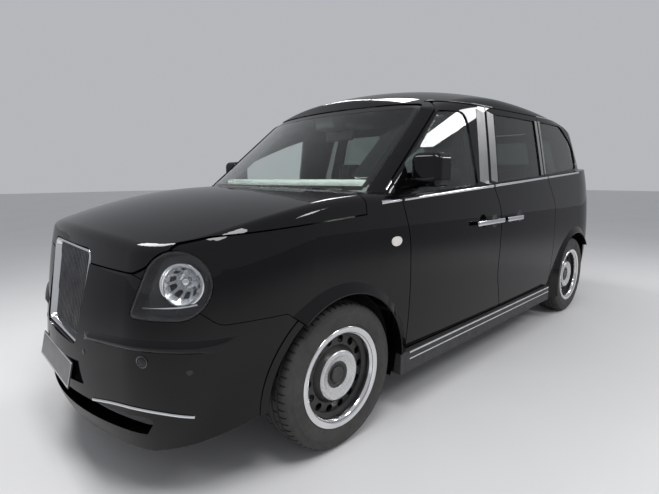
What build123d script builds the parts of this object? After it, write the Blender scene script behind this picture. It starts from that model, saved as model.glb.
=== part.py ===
"""Full-size London style taxi cab: body panels, doors, glass, cabin, running gear and wheels."""
from build123d import *
from math import cos, radians, sin
from typing import NamedTuple
import os

os.makedirs("parts", exist_ok=True)

# Driving dimensions, in mm. The car faces -Y, +X is its left side and the road is at z = 0
LENGTH = 4857
BODY_WIDTH = 1874
WIDTH_OVER_MIRRORS = 2036
HEIGHT = 1888
WHEELBASE = 2985
FRONT_AXLE_Y = -1470
REAR_AXLE_Y = FRONT_AXLE_Y + WHEELBASE
WHEEL_CENTRE_X = 800
TYRE_RADIUS = 345
TYRE_WIDTH = 215
RIM_RADIUS = 233
KINGPIN_X = 700

# Wall build-up, measured inwards from the outer surface
GLASS_OUTER = 8
SKIN = 13
DOOR_DEPTH = 54
WALL = 60
POST_DEPTH = 100
BONNET_SKIN = 30
SEAT_GAP = 0.3

# Panel gaps and edge rounding
PANEL_GAP = 6
FRAME_GAP = 8
REBATE = 18
SHOULDER_RADIUS = 55
ROOF_EDGE_RADIUS = 95
ARCH_RADIUS = 392
ARCH_LIP_RADIUS = 446
LINER_RADIUS = 404
LINER_SKIN = 6

# Belt line under the side windows rises towards the tail
BELT_FRONT_Y = -1353
BELT_FRONT_Z = 1132
BELT_RISE = 0.0526
SILL_TOP = 346
SILL_BOTTOM = 215
DOOR_BOTTOM = SILL_TOP + PANEL_GAP


def belt_z(y):
    """Height of the belt line at a place along the car."""
    return BELT_FRONT_Z + (y - BELT_FRONT_Y) * BELT_RISE


class Turn(NamedTuple):
    """Arcs of one end of a plan outline: where the side arc stops, how the next ones turn, in degrees."""

    radii: tuple
    angles: tuple


class Level(NamedTuple):
    """Plan outline of the body at one height."""

    z: float
    half_width: float
    nose_y: float
    tail_y: float
    nose: Turn
    tail: Turn


def end_arc(half_width, turn):
    """Radius of the arc that closes an end, and how far the end lies past the side arc."""
    reach = 0
    x = half_width
    for radius, start, stop in zip(turn.radii, turn.angles, turn.angles[1:]):
        x -= radius * (cos(radians(start)) - cos(radians(stop)))
        reach += radius * (sin(radians(stop)) - sin(radians(start)))
    last = radians(turn.angles[-1])
    radius = x / cos(last)
    return radius, reach + radius * (1 - sin(last))


def corner_arcs(half_width, side_end_y, turn, towards):
    """Arcs from side to end: centre, radius, start and stop angle; towards is -1 at the nose."""
    arcs = []
    x, y = half_width, side_end_y
    for radius, start, stop in zip(turn.radii, turn.angles, turn.angles[1:]):
        centre = (x - radius * cos(radians(start)), y - towards * radius * sin(radians(start)))
        arcs.append((centre, radius, towards * start, towards * stop))
        x = centre[0] + radius * cos(radians(stop))
        y = centre[1] + towards * radius * sin(radians(stop))
    return arcs


def plan_arcs(level):
    """Arcs of the left half of a plan outline, from the nose to the tail."""
    nose_radius, nose_reach = end_arc(level.half_width, level.nose)
    tail_radius, tail_reach = end_arc(level.half_width, level.tail)
    front_y = level.nose_y + nose_reach
    rear_y = level.tail_y - tail_reach
    side_angle = level.nose.angles[0]
    side_turn = radians(side_angle)
    side_radius = (rear_y - front_y) / 2 / sin(side_turn)
    side_centre = (level.half_width - side_radius * cos(side_turn), (front_y + rear_y) / 2)
    nose_corners = corner_arcs(level.half_width, front_y, level.nose, -1)
    arcs = [((0, level.nose_y + nose_radius), nose_radius, -90, -level.nose.angles[-1])]
    arcs += [(centre, radius, stop, start) for centre, radius, start, stop in reversed(nose_corners)]
    arcs.append((side_centre, side_radius, -side_angle, side_angle))
    arcs += corner_arcs(level.half_width, rear_y, level.tail, 1)
    arcs.append(((0, level.tail_y - tail_radius), tail_radius, level.tail.angles[-1], 90))
    return arcs


def loft_levels(levels, inset):
    """Left half of a closed hull through the levels, moved inwards by the inset."""
    with BuildPart() as hull:
        for level in levels:
            with BuildSketch(Plane.XY.offset(level.z)):
                with BuildLine():
                    for centre, radius, start, stop in plan_arcs(level):
                        CenterArc(centre, radius - inset, start, stop - start)
                    Line((0, level.tail_y - inset), (0, level.nose_y + inset))
                make_face()
        loft()
    return hull.part


# Lower body: side arc, quarter arc and corner arc at each end
NOSE_LOW = Turn((1500, 420), (1.05, 16, 70))
NOSE_HIGH = Turn((1500, 340), (1.05, 16, 78))
TAIL_LOW = Turn((1500, 380), (1.05, 16, 72))
LOWER_LEVELS = (
    Level(SILL_BOTTOM, 868, -2380, 2375, NOSE_LOW, TAIL_LOW),
    Level(450, 897, -2414, LENGTH / 2, NOSE_LOW, TAIL_LOW),
    Level(800, 910, -2350, 2405, NOSE_HIGH, TAIL_LOW),
    Level(1100, 893, -2285, 2370, NOSE_HIGH, TAIL_LOW),
    Level(1400, 850, -2190, 2300, NOSE_HIGH, TAIL_LOW),
)
# Cabin above the belt: windscreen arc, pillar corner, side arc, quarter arc, rear corner
SCREEN_TURN = Turn((140,), (2, 66))
BACK_TURN = Turn((1000, 180), (2, 30, 72))
CABIN_LEVELS = (
    Level(1000, 888, -1565, 2352, SCREEN_TURN, BACK_TURN),
    Level(1400, 818, -1080, 2206, SCREEN_TURN, BACK_TURN),
    Level(1950, 700, -420, 1960, SCREEN_TURN, BACK_TURN),
)
# Roof crown, seen from the side and from the front
ROOF_APEX_Y = 300
ROOF_FRONT_RADIUS = 3300
ROOF_REAR_RADIUS = 9500
ROOF_CROSS_RADIUS = 2400


class CrownSection(NamedTuple):
    """Bonnet crown at one place along the car: height in the middle and drop one metre to the side."""

    y: float
    z: float
    drop: float


BONNET_CROWN = (
    CrownSection(-2500, 955, 150),
    CrownSection(-1900, 1137, 80),
    CrownSection(-1000, 1180, 22),
)
CROWN_HALF_WIDTH = 1000
CROWN_BASE = 150


def bonnet_crown(inset):
    """Block under the bonnet's crowned top."""
    with BuildPart() as block:
        for section in BONNET_CROWN:
            with BuildSketch(Plane.XZ.offset(-section.y)):
                with BuildLine():
                    low = section.z - section.drop - inset
                    ThreePointArc(
                        (-CROWN_HALF_WIDTH, low), (0, section.z - inset), (CROWN_HALF_WIDTH, low)
                    )
                    Polyline(
                        (CROWN_HALF_WIDTH, low),
                        (CROWN_HALF_WIDTH, CROWN_BASE),
                        (-CROWN_HALF_WIDTH, CROWN_BASE),
                        (-CROWN_HALF_WIDTH, low),
                    )
                make_face()
        loft()
    return block.part


def rim_of(top, rear_y):
    """Edges round a top face that are neither on the centre plane nor on a cross cut at the rear."""
    return top.edges().filter_by(lambda edge: edge.center().X > 1 and edge.center().Y < rear_y - 1)


def front_hull(inset):
    """Nose of the car under the bonnet's crown, with its rounded shoulder."""
    with BuildPart() as hull:
        add(loft_levels(LOWER_LEVELS, inset))
        add(bonnet_crown(inset), mode=Mode.INTERSECT)
        fillet(rim_of(hull.faces().sort_by(Axis.Z)[-1], BONNET_CROWN[-1].y), SHOULDER_RADIUS - inset / 2)
    return hull.part


def roof_crown(inset):
    """Block under the crowned roof."""
    axis_z = HEIGHT - ROOF_CROSS_RADIUS
    with BuildPart() as block:
        with BuildSketch(Plane.YZ):
            with BuildLine():
                front_centre = (ROOF_APEX_Y, HEIGHT - ROOF_FRONT_RADIUS)
                front = CenterArc(front_centre, ROOF_FRONT_RADIUS - inset, 90, 40)
                back = CenterArc((ROOF_APEX_Y, HEIGHT - ROOF_REAR_RADIUS), ROOF_REAR_RADIUS - inset, 75, 15)
                Polyline(front @ 1, ((front @ 1).X, axis_z), ((back @ 0).X, axis_z), back @ 0)
            make_face()
        revolve(axis=Axis((0, 0, axis_z), (0, 1, 0)))
    return block.part


def cabin_hull(inset):
    """Body behind the bonnet: lower body up to the belt and the cabin above it."""
    rear_y = LENGTH
    front_y = -LENGTH
    with BuildPart() as hull:
        add(loft_levels(LOWER_LEVELS, inset))
        with BuildSketch(Plane.YZ) as under_belt:
            with BuildLine():
                Polyline(
                    (front_y, 0),
                    (rear_y, 0),
                    (rear_y, belt_z(rear_y) - inset),
                    (front_y, belt_z(front_y) - inset),
                    close=True,
                )
            make_face()
        extrude(under_belt.sketch, amount=BODY_WIDTH, both=True, mode=Mode.INTERSECT)
        add(upper_hull(inset))
    return hull.part


def upper_hull(inset):
    """Cabin above the belt with its rounded roof edge."""
    with BuildPart() as hull:
        add(loft_levels(CABIN_LEVELS, inset))
        add(roof_crown(inset), mode=Mode.INTERSECT)
        fillet(rim_of(hull.faces().sort_by(Axis.Z)[-1], LENGTH), max(ROOF_EDGE_RADIUS - inset, SKIN))
    return hull.part


def layer(hulls, outer, inner):
    """Shell between two hulls of the same form."""
    with BuildPart() as shell:
        add(hulls[outer])
        add(hulls[inner], mode=Mode.SUBTRACT)
    return shell.part


CABIN = {inset: cabin_hull(inset) for inset in (0, GLASS_OUTER, SKIN, DOOR_DEPTH, WALL, POST_DEPTH)}
FRONT = {inset: front_hull(inset) for inset in (0, BONNET_SKIN, WALL)}
CABIN_SKIN = layer(CABIN, 0, SKIN)
CABIN_LINING = layer(CABIN, SKIN, DOOR_DEPTH)
CABIN_WALL = layer(CABIN, 0, WALL)
CABIN_POST = layer(CABIN, WALL, POST_DEPTH)
CABIN_GLASS = layer(CABIN, GLASS_OUTER, SKIN)
FRONT_SKIN = layer(FRONT, 0, BONNET_SKIN)
FRONT_WALL = layer(FRONT, 0, WALL)

# Reach of the cutting prisms beyond the body
FAR = 3200
SIDE_INNER_X = 350
HALF_BODY = BODY_WIDTH / 2


def points_of(corners):
    """Points of an outline whose rows are u, v and corner radius."""
    return [(u, v) for u, v, radius in corners]


def radii_of(corners):
    """Corner radii of an outline whose rows are u, v and corner radius."""
    return [radius for u, v, radius in corners]


def side_prism(corners, grow=0, inner_x=SIDE_INNER_X, outer_x=FAR):
    """Side view outline, rows of y, z and corner radius, run across the left side of the car."""
    with BuildPart() as prism:
        with BuildSketch(Plane.YZ.offset(inner_x)):
            with BuildLine():
                FilletPolyline(*points_of(corners), radius=radii_of(corners), close=True)
            make_face()
            if grow:
                offset(amount=grow, kind=Kind.INTERSECTION)
        extrude(amount=outer_x - inner_x)
    return prism.part


def end_prism(corners, from_y, to_y, grow=0):
    """Outline seen from an end of the car, rows of x, z and corner radius, run along the car."""
    with BuildPart() as prism:
        with BuildSketch(Plane.XZ.offset(-from_y)):
            with BuildLine():
                FilletPolyline(*points_of(corners), radius=radii_of(corners), close=True)
            make_face()
            if grow:
                offset(amount=grow, kind=Kind.INTERSECTION)
        extrude(amount=from_y - to_y)
    return prism.part


def mirrored(corners):
    """Right half of a symmetric outline, listed from the bottom up, closed with its left half."""
    return list(corners) + [(-u, v, radius) for u, v, radius in reversed(corners)]


def left_right(left, label):
    """The left piece and its mirror image, labelled and written."""
    with BuildPart() as right:
        mirror(left, about=Plane.YZ)
    save(left, label + "_left")
    save(right.part, label + "_right")


def save(piece, label):
    """Label a finished piece and write it."""
    piece.label = label
    export_step(piece, f"parts/{label}.step")


def pair_of(left):
    """Both sides of a like piece, as one node."""
    with BuildPart() as both:
        add(left)
        mirror(left, about=Plane.YZ)
    return both.part


def whole_of(left):
    """Full-width piece from its left half."""
    with BuildPart() as whole:
        add(left)
        mirror(left, about=Plane.YZ)
    return whole.part


def keep(*solids):
    """What all the solids have in common."""
    with BuildPart() as common:
        add(solids[0])
        for solid in solids[1:]:
            add(solid, mode=Mode.INTERSECT)
    return common.part


def without(solid, *cutters):
    """A solid with the cutters taken out."""
    with BuildPart() as rest:
        add(solid)
        for cutter in cutters:
            add(cutter, mode=Mode.SUBTRACT)
    return rest.part


def joined(*solids):
    """Several touching solids as one."""
    with BuildPart() as whole:
        for solid in solids:
            add(solid)
    return whole.part


def block(x0, x1, y0, y1, z0, z1):
    """Box between two corners."""
    with BuildPart() as box:
        with Locations(((x0 + x1) / 2, (y0 + y1) / 2, (z0 + z1) / 2)):
            Box(x1 - x0, y1 - y0, z1 - z0)
    return box.part


def rod(radius, start, end):
    """Round bar between two points."""
    axis = Vector(*end) - Vector(*start)
    with BuildPart() as bar:
        with BuildSketch(Plane(origin=start, z_dir=axis)):
            Circle(radius)
        extrude(amount=axis.length)
    return bar.part


def roof_line_z(y):
    """Height of the joint between roof and side."""
    return ROOF_LINE_Z + y * ROOF_LINE_RISE


ROOF_LINE_Z = 1700
ROOF_LINE_RISE = 0.0158
DOOR_TOP_GAP = PANEL_GAP
DOOR_CLEARANCE = PANEL_GAP + 0.5

# Side view of the doors. Front shut line, line between the doors and rear shut line
FRONT_SHUT_Y = -997
FRONT_SHUT_BELT_Y = -1056
DOOR_SPLIT_TOP_Y = -20
DOOR_SPLIT_BELT_Y = -95
DOOR_SPLIT_WAIST_Y = 10
DOOR_SPLIT_LOW_Y = -20
DOOR_SPLIT_FOOT_Y = 80
REAR_SHUT_Y = 985
QUARTER_SHUT_Y = 826
SHUT_BEND_Z = 960
SPLIT_BEND_Z = 1020
SPLIT_LOW_Z = 600
SCREEN_LINE_Z = 1232
SCREEN_LINE_TOP_Y = -510

SPLIT = (
    # y, z, radius, from the top down
    (DOOR_SPLIT_TOP_Y, roof_line_z(DOOR_SPLIT_TOP_Y) - DOOR_TOP_GAP, 10),
    (DOOR_SPLIT_BELT_Y, belt_z(DOOR_SPLIT_BELT_Y), 60),
    (DOOR_SPLIT_WAIST_Y, SPLIT_BEND_Z, 230),
    (DOOR_SPLIT_LOW_Y, SPLIT_LOW_Z, 300),
    (DOOR_SPLIT_FOOT_Y, DOOR_BOTTOM, 10),
)
FRONT_DOOR = (
    (FRONT_SHUT_Y, DOOR_BOTTOM, 10),
    (FRONT_SHUT_Y, SHUT_BEND_Z, 500),
    (FRONT_SHUT_BELT_Y, belt_z(FRONT_SHUT_BELT_Y), 180),
    (FRONT_SHUT_BELT_Y, SCREEN_LINE_Z, 20),
    (SCREEN_LINE_TOP_Y, roof_line_z(SCREEN_LINE_TOP_Y) - DOOR_TOP_GAP, 80),
) + tuple((y - FRAME_GAP / 2, z, radius) for y, z, radius in SPLIT)
REAR_DOOR = tuple((y + FRAME_GAP / 2, z, radius) for y, z, radius in SPLIT) + (
    (REAR_SHUT_Y, DOOR_BOTTOM, 10),
    (REAR_SHUT_Y, SPLIT_BEND_Z, 160),
    (QUARTER_SHUT_Y, belt_z(QUARTER_SHUT_Y), 50),
    (QUARTER_SHUT_Y, roof_line_z(QUARTER_SHUT_Y) - DOOR_TOP_GAP, 10),
)
# Window openings, seen from the side
SILL_STRIP = 6
FRONT_WINDOW = (
    (-938, belt_z(-938) + SILL_STRIP, 15),
    (-950, 1312, 20),
    (-556, 1627, 40),
    (-270, 1642, 70),
    (-250, belt_z(-250) + SILL_STRIP, 10),
)
REAR_WINDOW = (
    (28, belt_z(28) + SILL_STRIP, 12),
    (92, 1660, 15),
    (768, 1670, 15),
    (762, belt_z(762) + SILL_STRIP, 12),
)
QUARTER_WINDOW = (
    (878, belt_z(878) + SILL_STRIP, 12),
    (890, 1672, 20),
    (1360, 1676, 90),
    (1640, 1520, 150),
    (1650, belt_z(1650) + 24, 45),
)


# Windscreen, seen from the front, and the pillar beside it that the doors keep clear of
SCREEN = mirrored(((790, 1080, 10), (700, 1672, 70)))
SCREEN_FRONT_Y = -1600
SCREEN_BACK_Y = -300
PILLAR_WIDTH = 25


def pillar(margin):
    """Windscreen opening with the pillar's width round it."""
    return end_prism(SCREEN, SCREEN_FRONT_Y, SCREEN_BACK_Y, grow=PILLAR_WIDTH + margin)


def door_panel(outline, window):
    """Door on the left side: outer skin, lining set back at its edges, window cut."""
    skin = keep(CABIN_SKIN, side_prism(outline))
    lining = without(keep(CABIN_LINING, side_prism(outline, grow=-REBATE)), pillar(REBATE))
    return without(joined(skin, lining), side_prism(window), pillar(0))


def pane(window):
    """Side glass, a hair smaller than its opening."""
    return keep(CABIN_GLASS, side_prism(window, grow=-SEAT_GAP))


# Door handles: grip bar on two feet over the split between the doors
HANDLE_Z = 965
HANDLE_X = 922
HANDLE_HEIGHT = 28
HANDLE_DEPTH = 14
HANDLE_STANDOFF = 20
HANDLES = {"door_front": (-372, -22), "door_rear": (34, 268)}


def handle(y0, y1):
    """Grip bar with a foot at each end, reaching into the skin."""
    outer = HANDLE_X + HANDLE_STANDOFF + HANDLE_DEPTH
    with BuildPart() as grip:
        low_z = HANDLE_Z - HANDLE_HEIGHT / 2
        add(block(outer - HANDLE_DEPTH, outer, y0, y1, low_z, low_z + HANDLE_HEIGHT))
        fillet(grip.edges().filter_by(Axis.Y), HANDLE_DEPTH / 2 - 1)
        for foot_y in (y0 + 25, y1 - 25):
            add(block(HANDLE_X - 10, outer - 4, foot_y - 12, foot_y + 12, HANDLE_Z - 9, HANDLE_Z + 9))
    return grip.part


# Doors
door_front = joined(door_panel(FRONT_DOOR, FRONT_WINDOW), handle(*HANDLES["door_front"]))
door_rear = joined(door_panel(REAR_DOOR, REAR_WINDOW), handle(*HANDLES["door_rear"]))
left_right(door_front, "door_front")
left_right(door_rear, "door_rear")
left_right(pane(FRONT_WINDOW), "glass_front")
left_right(pane(REAR_WINDOW), "glass_rear")

REAR_BUMPER_TOP = 640
# Tailgate and its glass, seen from the rear
TAILGATE = mirrored(((600, REAR_BUMPER_TOP + PANEL_GAP, 60), (632, 1150, 400), (560, 1690, 80)))
TAILGATE_WINDOW = mirrored(((520, 1275, 50), (470, 1640, 60)))
TAILGATE_FRONT_Y = 1750
TAIL_LAMP = ((668, 790, 35), (668, 1130, 35), (FAR, 1130, 5), (FAR, 790, 5))
TAIL_LAMP_FRONT_Y = 2105

# Roof panel: above the joint with the sides, and above the tailgate
ROOF_SPLIT = (
    (-FAR, roof_line_z(-FAR), 0),
    (1650, roof_line_z(1650), 0),
    (1900, 1690 + PANEL_GAP, 0),
    (FAR, 1690 + PANEL_GAP, 0),
    (FAR, HEIGHT + 100, 0),
    (-FAR, HEIGHT + 100, 0),
)
HEADER_HALF = 610
HEADER_BOTTOM = 1600
TAIL_HEADER_HALF = 540
TAIL_HEADER_FRONT_Y = 1300
above_roof_line = joined(
    side_prism(ROOF_SPLIT, inner_x=-FAR),
    block(-HEADER_HALF, HEADER_HALF, -FAR, SCREEN_BACK_Y, HEADER_BOTTOM, HEIGHT),
    block(-TAIL_HEADER_HALF, TAIL_HEADER_HALF, TAIL_HEADER_FRONT_Y, FAR, HEADER_BOTTOM, HEIGHT),
)
screen_opening = end_prism(SCREEN, SCREEN_FRONT_Y, SCREEN_BACK_Y)
tailgate_opening = end_prism(TAILGATE, TAILGATE_FRONT_Y, FAR, grow=PANEL_GAP)
roof_panel = without(keep(CABIN_WALL, above_roof_line), screen_opening, tailgate_opening)
save(whole_of(roof_panel), "roof_panel")

screen_prism = end_prism(SCREEN, SCREEN_FRONT_Y, SCREEN_BACK_Y, grow=-SEAT_GAP)
windscreen = without(keep(CABIN_GLASS, screen_prism), FRONT[0])
save(whole_of(windscreen), "windscreen")

tailgate_skin = keep(CABIN_SKIN, end_prism(TAILGATE, TAILGATE_FRONT_Y, FAR))
tailgate_lining = keep(CABIN_LINING, end_prism(TAILGATE, TAILGATE_FRONT_Y, FAR, grow=-REBATE))
tailgate = without(
    joined(tailgate_skin, tailgate_lining),
    end_prism(TAILGATE_WINDOW, TAILGATE_FRONT_Y, FAR),
)
save(whole_of(tailgate), "tailgate")
tailgate_pane = end_prism(TAILGATE_WINDOW, TAILGATE_FRONT_Y, FAR, grow=-SEAT_GAP)
save(whole_of(keep(CABIN_GLASS, tailgate_pane)), "glass_tailgate")

# Wheel arches
WHEELS = {"front": FRONT_AXLE_Y, "rear": REAR_AXLE_Y}


def wheel_disc(axle_y, radius, x0, x1):
    """Disc about a wheel's axis on the left side."""
    return rod(radius, (x0, axle_y, TYRE_RADIUS), (x1, axle_y, TYRE_RADIUS))


def arch_cut(axle_y):
    """Opening over a wheel, down to below the sill."""
    return joined(
        wheel_disc(axle_y, ARCH_RADIUS, SIDE_INNER_X, FAR),
        block(SIDE_INNER_X, FAR, axle_y - ARCH_RADIUS, axle_y + ARCH_RADIUS, 0, SILL_BOTTOM + 5),
    )


ARCH_LIP_DEPTH = 45


def arch_lip(axle_y):
    """Raised lip round a wheel arch, whose face falls back to the body side."""
    with BuildPart() as lip:
        with BuildSketch(Plane.XY.offset(TYRE_RADIUS)):
            with BuildLine():
                Polyline(
                    (HALF_BODY - ARCH_LIP_DEPTH, axle_y + ARCH_RADIUS),
                    (HALF_BODY - 2, axle_y + ARCH_RADIUS),
                    (HALF_BODY, axle_y + ARCH_RADIUS + 6),
                    (HALF_BODY - ARCH_LIP_DEPTH, axle_y + ARCH_LIP_RADIUS + 40),
                    close=True,
                )
            make_face()
        revolve(axis=Axis((0, axle_y, TYRE_RADIUS), (1, 0, 0)), revolution_arc=360)
    return lip.part


BUMPER_LIP_WIDTH = 34
BUMPER_LIP_PROUD = 5


def bumper_lip(axle_y):
    """Low lip round the arch that follows the bumper's own curve."""
    ring = without(
        wheel_disc(axle_y, ARCH_RADIUS + BUMPER_LIP_WIDTH, SIDE_INNER_X, HALF_BODY),
        wheel_disc(axle_y, ARCH_RADIUS, 0, FAR),
    )
    outer = loft_levels(LOWER_LEVELS, -BUMPER_LIP_PROUD)
    return without(keep(outer, ring), loft_levels(LOWER_LEVELS, WALL))


# Headlamps, drawn on a plane square to the front corner of the car
LAMP_ANGLE = 48
LAMP_CENTRE = (777, -2172, 873)
LAMP_RADIUS = 122
LAMP_TIP = (-165, -104)
LAMP_TIP_RADIUS = 14
LAMP_DEPTH = 110
LENS = 5
BOWL_RADIUS = 66
BOWL_CENTRE = (22, 6)
LAMP_PLANE = Plane(
    origin=LAMP_CENTRE,
    x_dir=(cos(radians(LAMP_ANGLE)), sin(radians(LAMP_ANGLE)), 0),
    z_dir=(sin(radians(LAMP_ANGLE)), -cos(radians(LAMP_ANGLE)), 0),
)


def lamp_prism(grow, back, front):
    """Drop-shaped outline of the headlamp, run along the lamp's own axis."""
    with BuildPart() as prism:
        with BuildSketch(LAMP_PLANE.offset(back)):
            Circle(LAMP_RADIUS + grow)
            with Locations(LAMP_TIP):
                Circle(LAMP_TIP_RADIUS + grow)
            make_hull()
        extrude(amount=front - back)
    return prism.part


LAMP_REACH = 160
lamp_opening = lamp_prism(PANEL_GAP / 2, -2 * LAMP_REACH, LAMP_REACH)

# Grille on a plane that leans back, outline in the plane's own x and height
GRILLE_BASE = (0, -2372, 564)
GRILLE_LEAN = 10.8
GRILLE_TOP_HALF = 300
GRILLE_BASE_HALF = 247
GRILLE_HEIGHT = 402
GRILLE_FRAME = 20
GRILLE_DEPTH = 46
GRILLE_BARS = 25
GRILLE_BAR_WIDTH = 7
GRILLE_BAR_DEPTH = 22
GRILLE_REACH = 130
GRILLE_PLANE = Plane(
    origin=GRILLE_BASE,
    x_dir=(1, 0, 0),
    z_dir=(0, -cos(radians(GRILLE_LEAN)), sin(radians(GRILLE_LEAN))),
)
GRILLE = mirrored(((GRILLE_BASE_HALF, 0, 30), (GRILLE_TOP_HALF, GRILLE_HEIGHT, 45)))


def grille_prism(grow, back, front):
    """Outline of the grille run square to its plane."""
    with BuildPart() as prism:
        with BuildSketch(GRILLE_PLANE.offset(back)):
            with BuildLine():
                FilletPolyline(*points_of(GRILLE), radius=radii_of(GRILLE), close=True)
            make_face()
            if grow:
                offset(amount=grow, kind=Kind.INTERSECTION)
        extrude(amount=front - back)
    return prism.part


def grille_bars():
    """Row of upright bars as high as the opening, trimmed to the inside of the frame."""
    pitch = 2 * GRILLE_TOP_HALF / (GRILLE_BARS + 1)
    with BuildPart() as bars:
        with BuildSketch(GRILLE_PLANE.offset(-GRILLE_DEPTH + 6)):
            with Locations((0, GRILLE_HEIGHT / 2)):
                with GridLocations(pitch, 1, GRILLE_BARS, 1):
                    Rectangle(GRILLE_BAR_WIDTH, GRILLE_HEIGHT)
        extrude(amount=GRILLE_BAR_DEPTH)
        add(grille_prism(-GRILLE_FRAME + 1, -GRILLE_DEPTH, 0), mode=Mode.INTERSECT)
    return bars.part


grille_frame = without(
    grille_prism(-SEAT_GAP, -GRILLE_DEPTH, 6), grille_prism(-GRILLE_FRAME, -GRILLE_DEPTH - 1, 7)
)
grille_back = grille_prism(-SEAT_GAP, -GRILLE_DEPTH, -GRILLE_DEPTH + 6)
save(joined(grille_frame, grille_bars(), grille_back), "grille")

# Bonnet: above its shut line and ahead of its curved rear edge
BONNET_NOSE_Z = 912
BONNET_REAR_Y = -1455
BONNET_REAR_RADIUS = 3090
BONNET_SHUT = (
    # y, z, radius
    (-FAR, BONNET_NOSE_Z, 0),
    (-2262, BONNET_NOSE_Z, 20),
    (-2150, 1020, 60),
    (-2046, 1042, 200),
    (-1100, 1094, 0),
    (-1100, HEIGHT, 0),
    (-FAR, HEIGHT, 0),
)


def behind_bonnet(grow):
    """Everything behind the bonnet's rear edge, moved back by the given gap."""
    with BuildPart() as rest:
        with BuildSketch():
            Rectangle(2 * FAR, 2 * FAR)
            with Locations((0, BONNET_REAR_Y + BONNET_REAR_RADIUS)):
                Circle(BONNET_REAR_RADIUS - grow, mode=Mode.INTERSECT)
        extrude(amount=HEIGHT)
    return rest.part


bonnet_side = side_prism(BONNET_SHUT, inner_x=-FAR)
bonnet = without(
    keep(FRONT_SKIN, bonnet_side),
    behind_bonnet(0),
    lamp_prism(PANEL_GAP, -2 * LAMP_REACH, LAMP_REACH),
    grille_prism(PANEL_GAP, -GRILLE_REACH, GRILLE_REACH),
)
save(whole_of(bonnet), "bonnet")

# Front bumper with the fascia beside the grille, and its seam to the wing
BUMPER_SEAM = (
    (-FAR, SILL_BOTTOM - 5, 0),
    (-FAR, BONNET_NOSE_Z - PANEL_GAP, 0),
    (-2262, BONNET_NOSE_Z - PANEL_GAP, 0),
    (-2110, 772, 60),
    (-2050, 720, 80),
    (-1783, 716, 30),
    (-1690, 640, 0),
    (-1690, SILL_BOTTOM - 5, 0),
)
BUMPER_UNDERCUT = (
    (-2260, SILL_BOTTOM - 60, 0),
    (-2260, SILL_BOTTOM - 5, 60),
    (-2050, 272, 60),
    (-1860, 318, 0),
    (-1600, 330, 0),
    (-1600, SILL_BOTTOM - 60, 0),
)
INTAKE = mirrored(((640, 290, 12), (690, 368, 20)))
PLATE_WIDTH = 520
PLATE_HEIGHT = 111
PLATE_THICKNESS = 5
PLATE_LEAN = 13
FRONT_PLATE_Z = 446
PLATE_REACH = PLATE_HEIGHT / 2 * sin(radians(PLATE_LEAN)) + PLATE_THICKNESS * cos(radians(PLATE_LEAN))
FRONT_PLATE_Y = PLATE_REACH - LENGTH / 2
PLINTH_WIDTH = 360
PLINTH_HEIGHT = 90


def plate_plane(origin, facing, lean):
    """Plane of a number plate that leans back from upright."""
    normal = (0, facing * cos(radians(lean)), sin(radians(lean)))
    return Plane(origin=origin, x_dir=(-facing, 0, 0), z_dir=normal)


def plate_block(plane, width, height, back, front):
    """Block on a number plate's plane."""
    with BuildPart() as slab:
        with BuildSketch(plane.offset(back)):
            Rectangle(width, height)
        extrude(amount=front - back)
    return slab.part


front_plate_plane = plate_plane((0, FRONT_PLATE_Y, FRONT_PLATE_Z), -1, PLATE_LEAN)
front_plinth = plate_block(front_plate_plane, PLINTH_WIDTH, PLINTH_HEIGHT, -60, 0)
bumper_left = without(
    joined(
        keep(FRONT_WALL, side_prism(BUMPER_SEAM, inner_x=-FAR)),
        keep(bumper_lip(FRONT_AXLE_Y), side_prism(BUMPER_SEAM)),
    ),
    side_prism(BUMPER_UNDERCUT, inner_x=-FAR),
    end_prism(INTAKE, -FAR, -2100),
    lamp_opening,
    grille_prism(0, -GRILLE_REACH, GRILLE_REACH),
    arch_cut(FRONT_AXLE_Y),
)
front_bumper = without(
    joined(whole_of(bumper_left), without(front_plinth, whole_of(FRONT[WALL]))),
    plate_block(front_plate_plane, PLATE_WIDTH + 1, PLATE_HEIGHT + 1, 0, PLATE_THICKNESS + 60),
)
save(front_bumper, "front_bumper")

# Front wings
WING = (
    (-2300, SILL_BOTTOM, 0),
    (-2300, BONNET_NOSE_Z - PANEL_GAP, 0),
    (-2259, BONNET_NOSE_Z - PANEL_GAP, 20),
    (-2150, 1020 - PANEL_GAP - 2, 60),
    (-2046, 1042 - PANEL_GAP, 200),
    (-1100, 1094 - PANEL_GAP, 0),
    (-900, 1094 - PANEL_GAP, 0),
    (-900, SILL_BOTTOM, 0),
)
WING_TOP_REAR = (
    (-1600, 1000, 0),
    (-1600, HEIGHT, 0),
    (-900, HEIGHT, 0),
    (-900, 1000, 0),
)
SCUTTLE_HALF = 800
SCUTTLE_REAR_Y = -1210
wing_behind_bonnet = without(
    keep(FRONT_WALL, side_prism(WING_TOP_REAR), behind_bonnet(PANEL_GAP)),
    block(0, SCUTTLE_HALF, -FAR, 0, 0, HEIGHT),
)
bumper_domain = side_prism(BUMPER_SEAM, grow=PANEL_GAP / 2)
wing_side = keep(FRONT_WALL, side_prism(WING))
wing_lip = keep(arch_lip(FRONT_AXLE_Y), side_prism(WING), block(0, FAR, -FAR, 0, SILL_TOP, HEIGHT))
wing = without(
    joined(wing_side, wing_behind_bonnet, wing_lip),
    bumper_domain,
    side_prism(FRONT_DOOR, grow=PANEL_GAP),
    lamp_opening,
    arch_cut(FRONT_AXLE_Y),
)
save(pair_of(wing), "front_wings")

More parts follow.
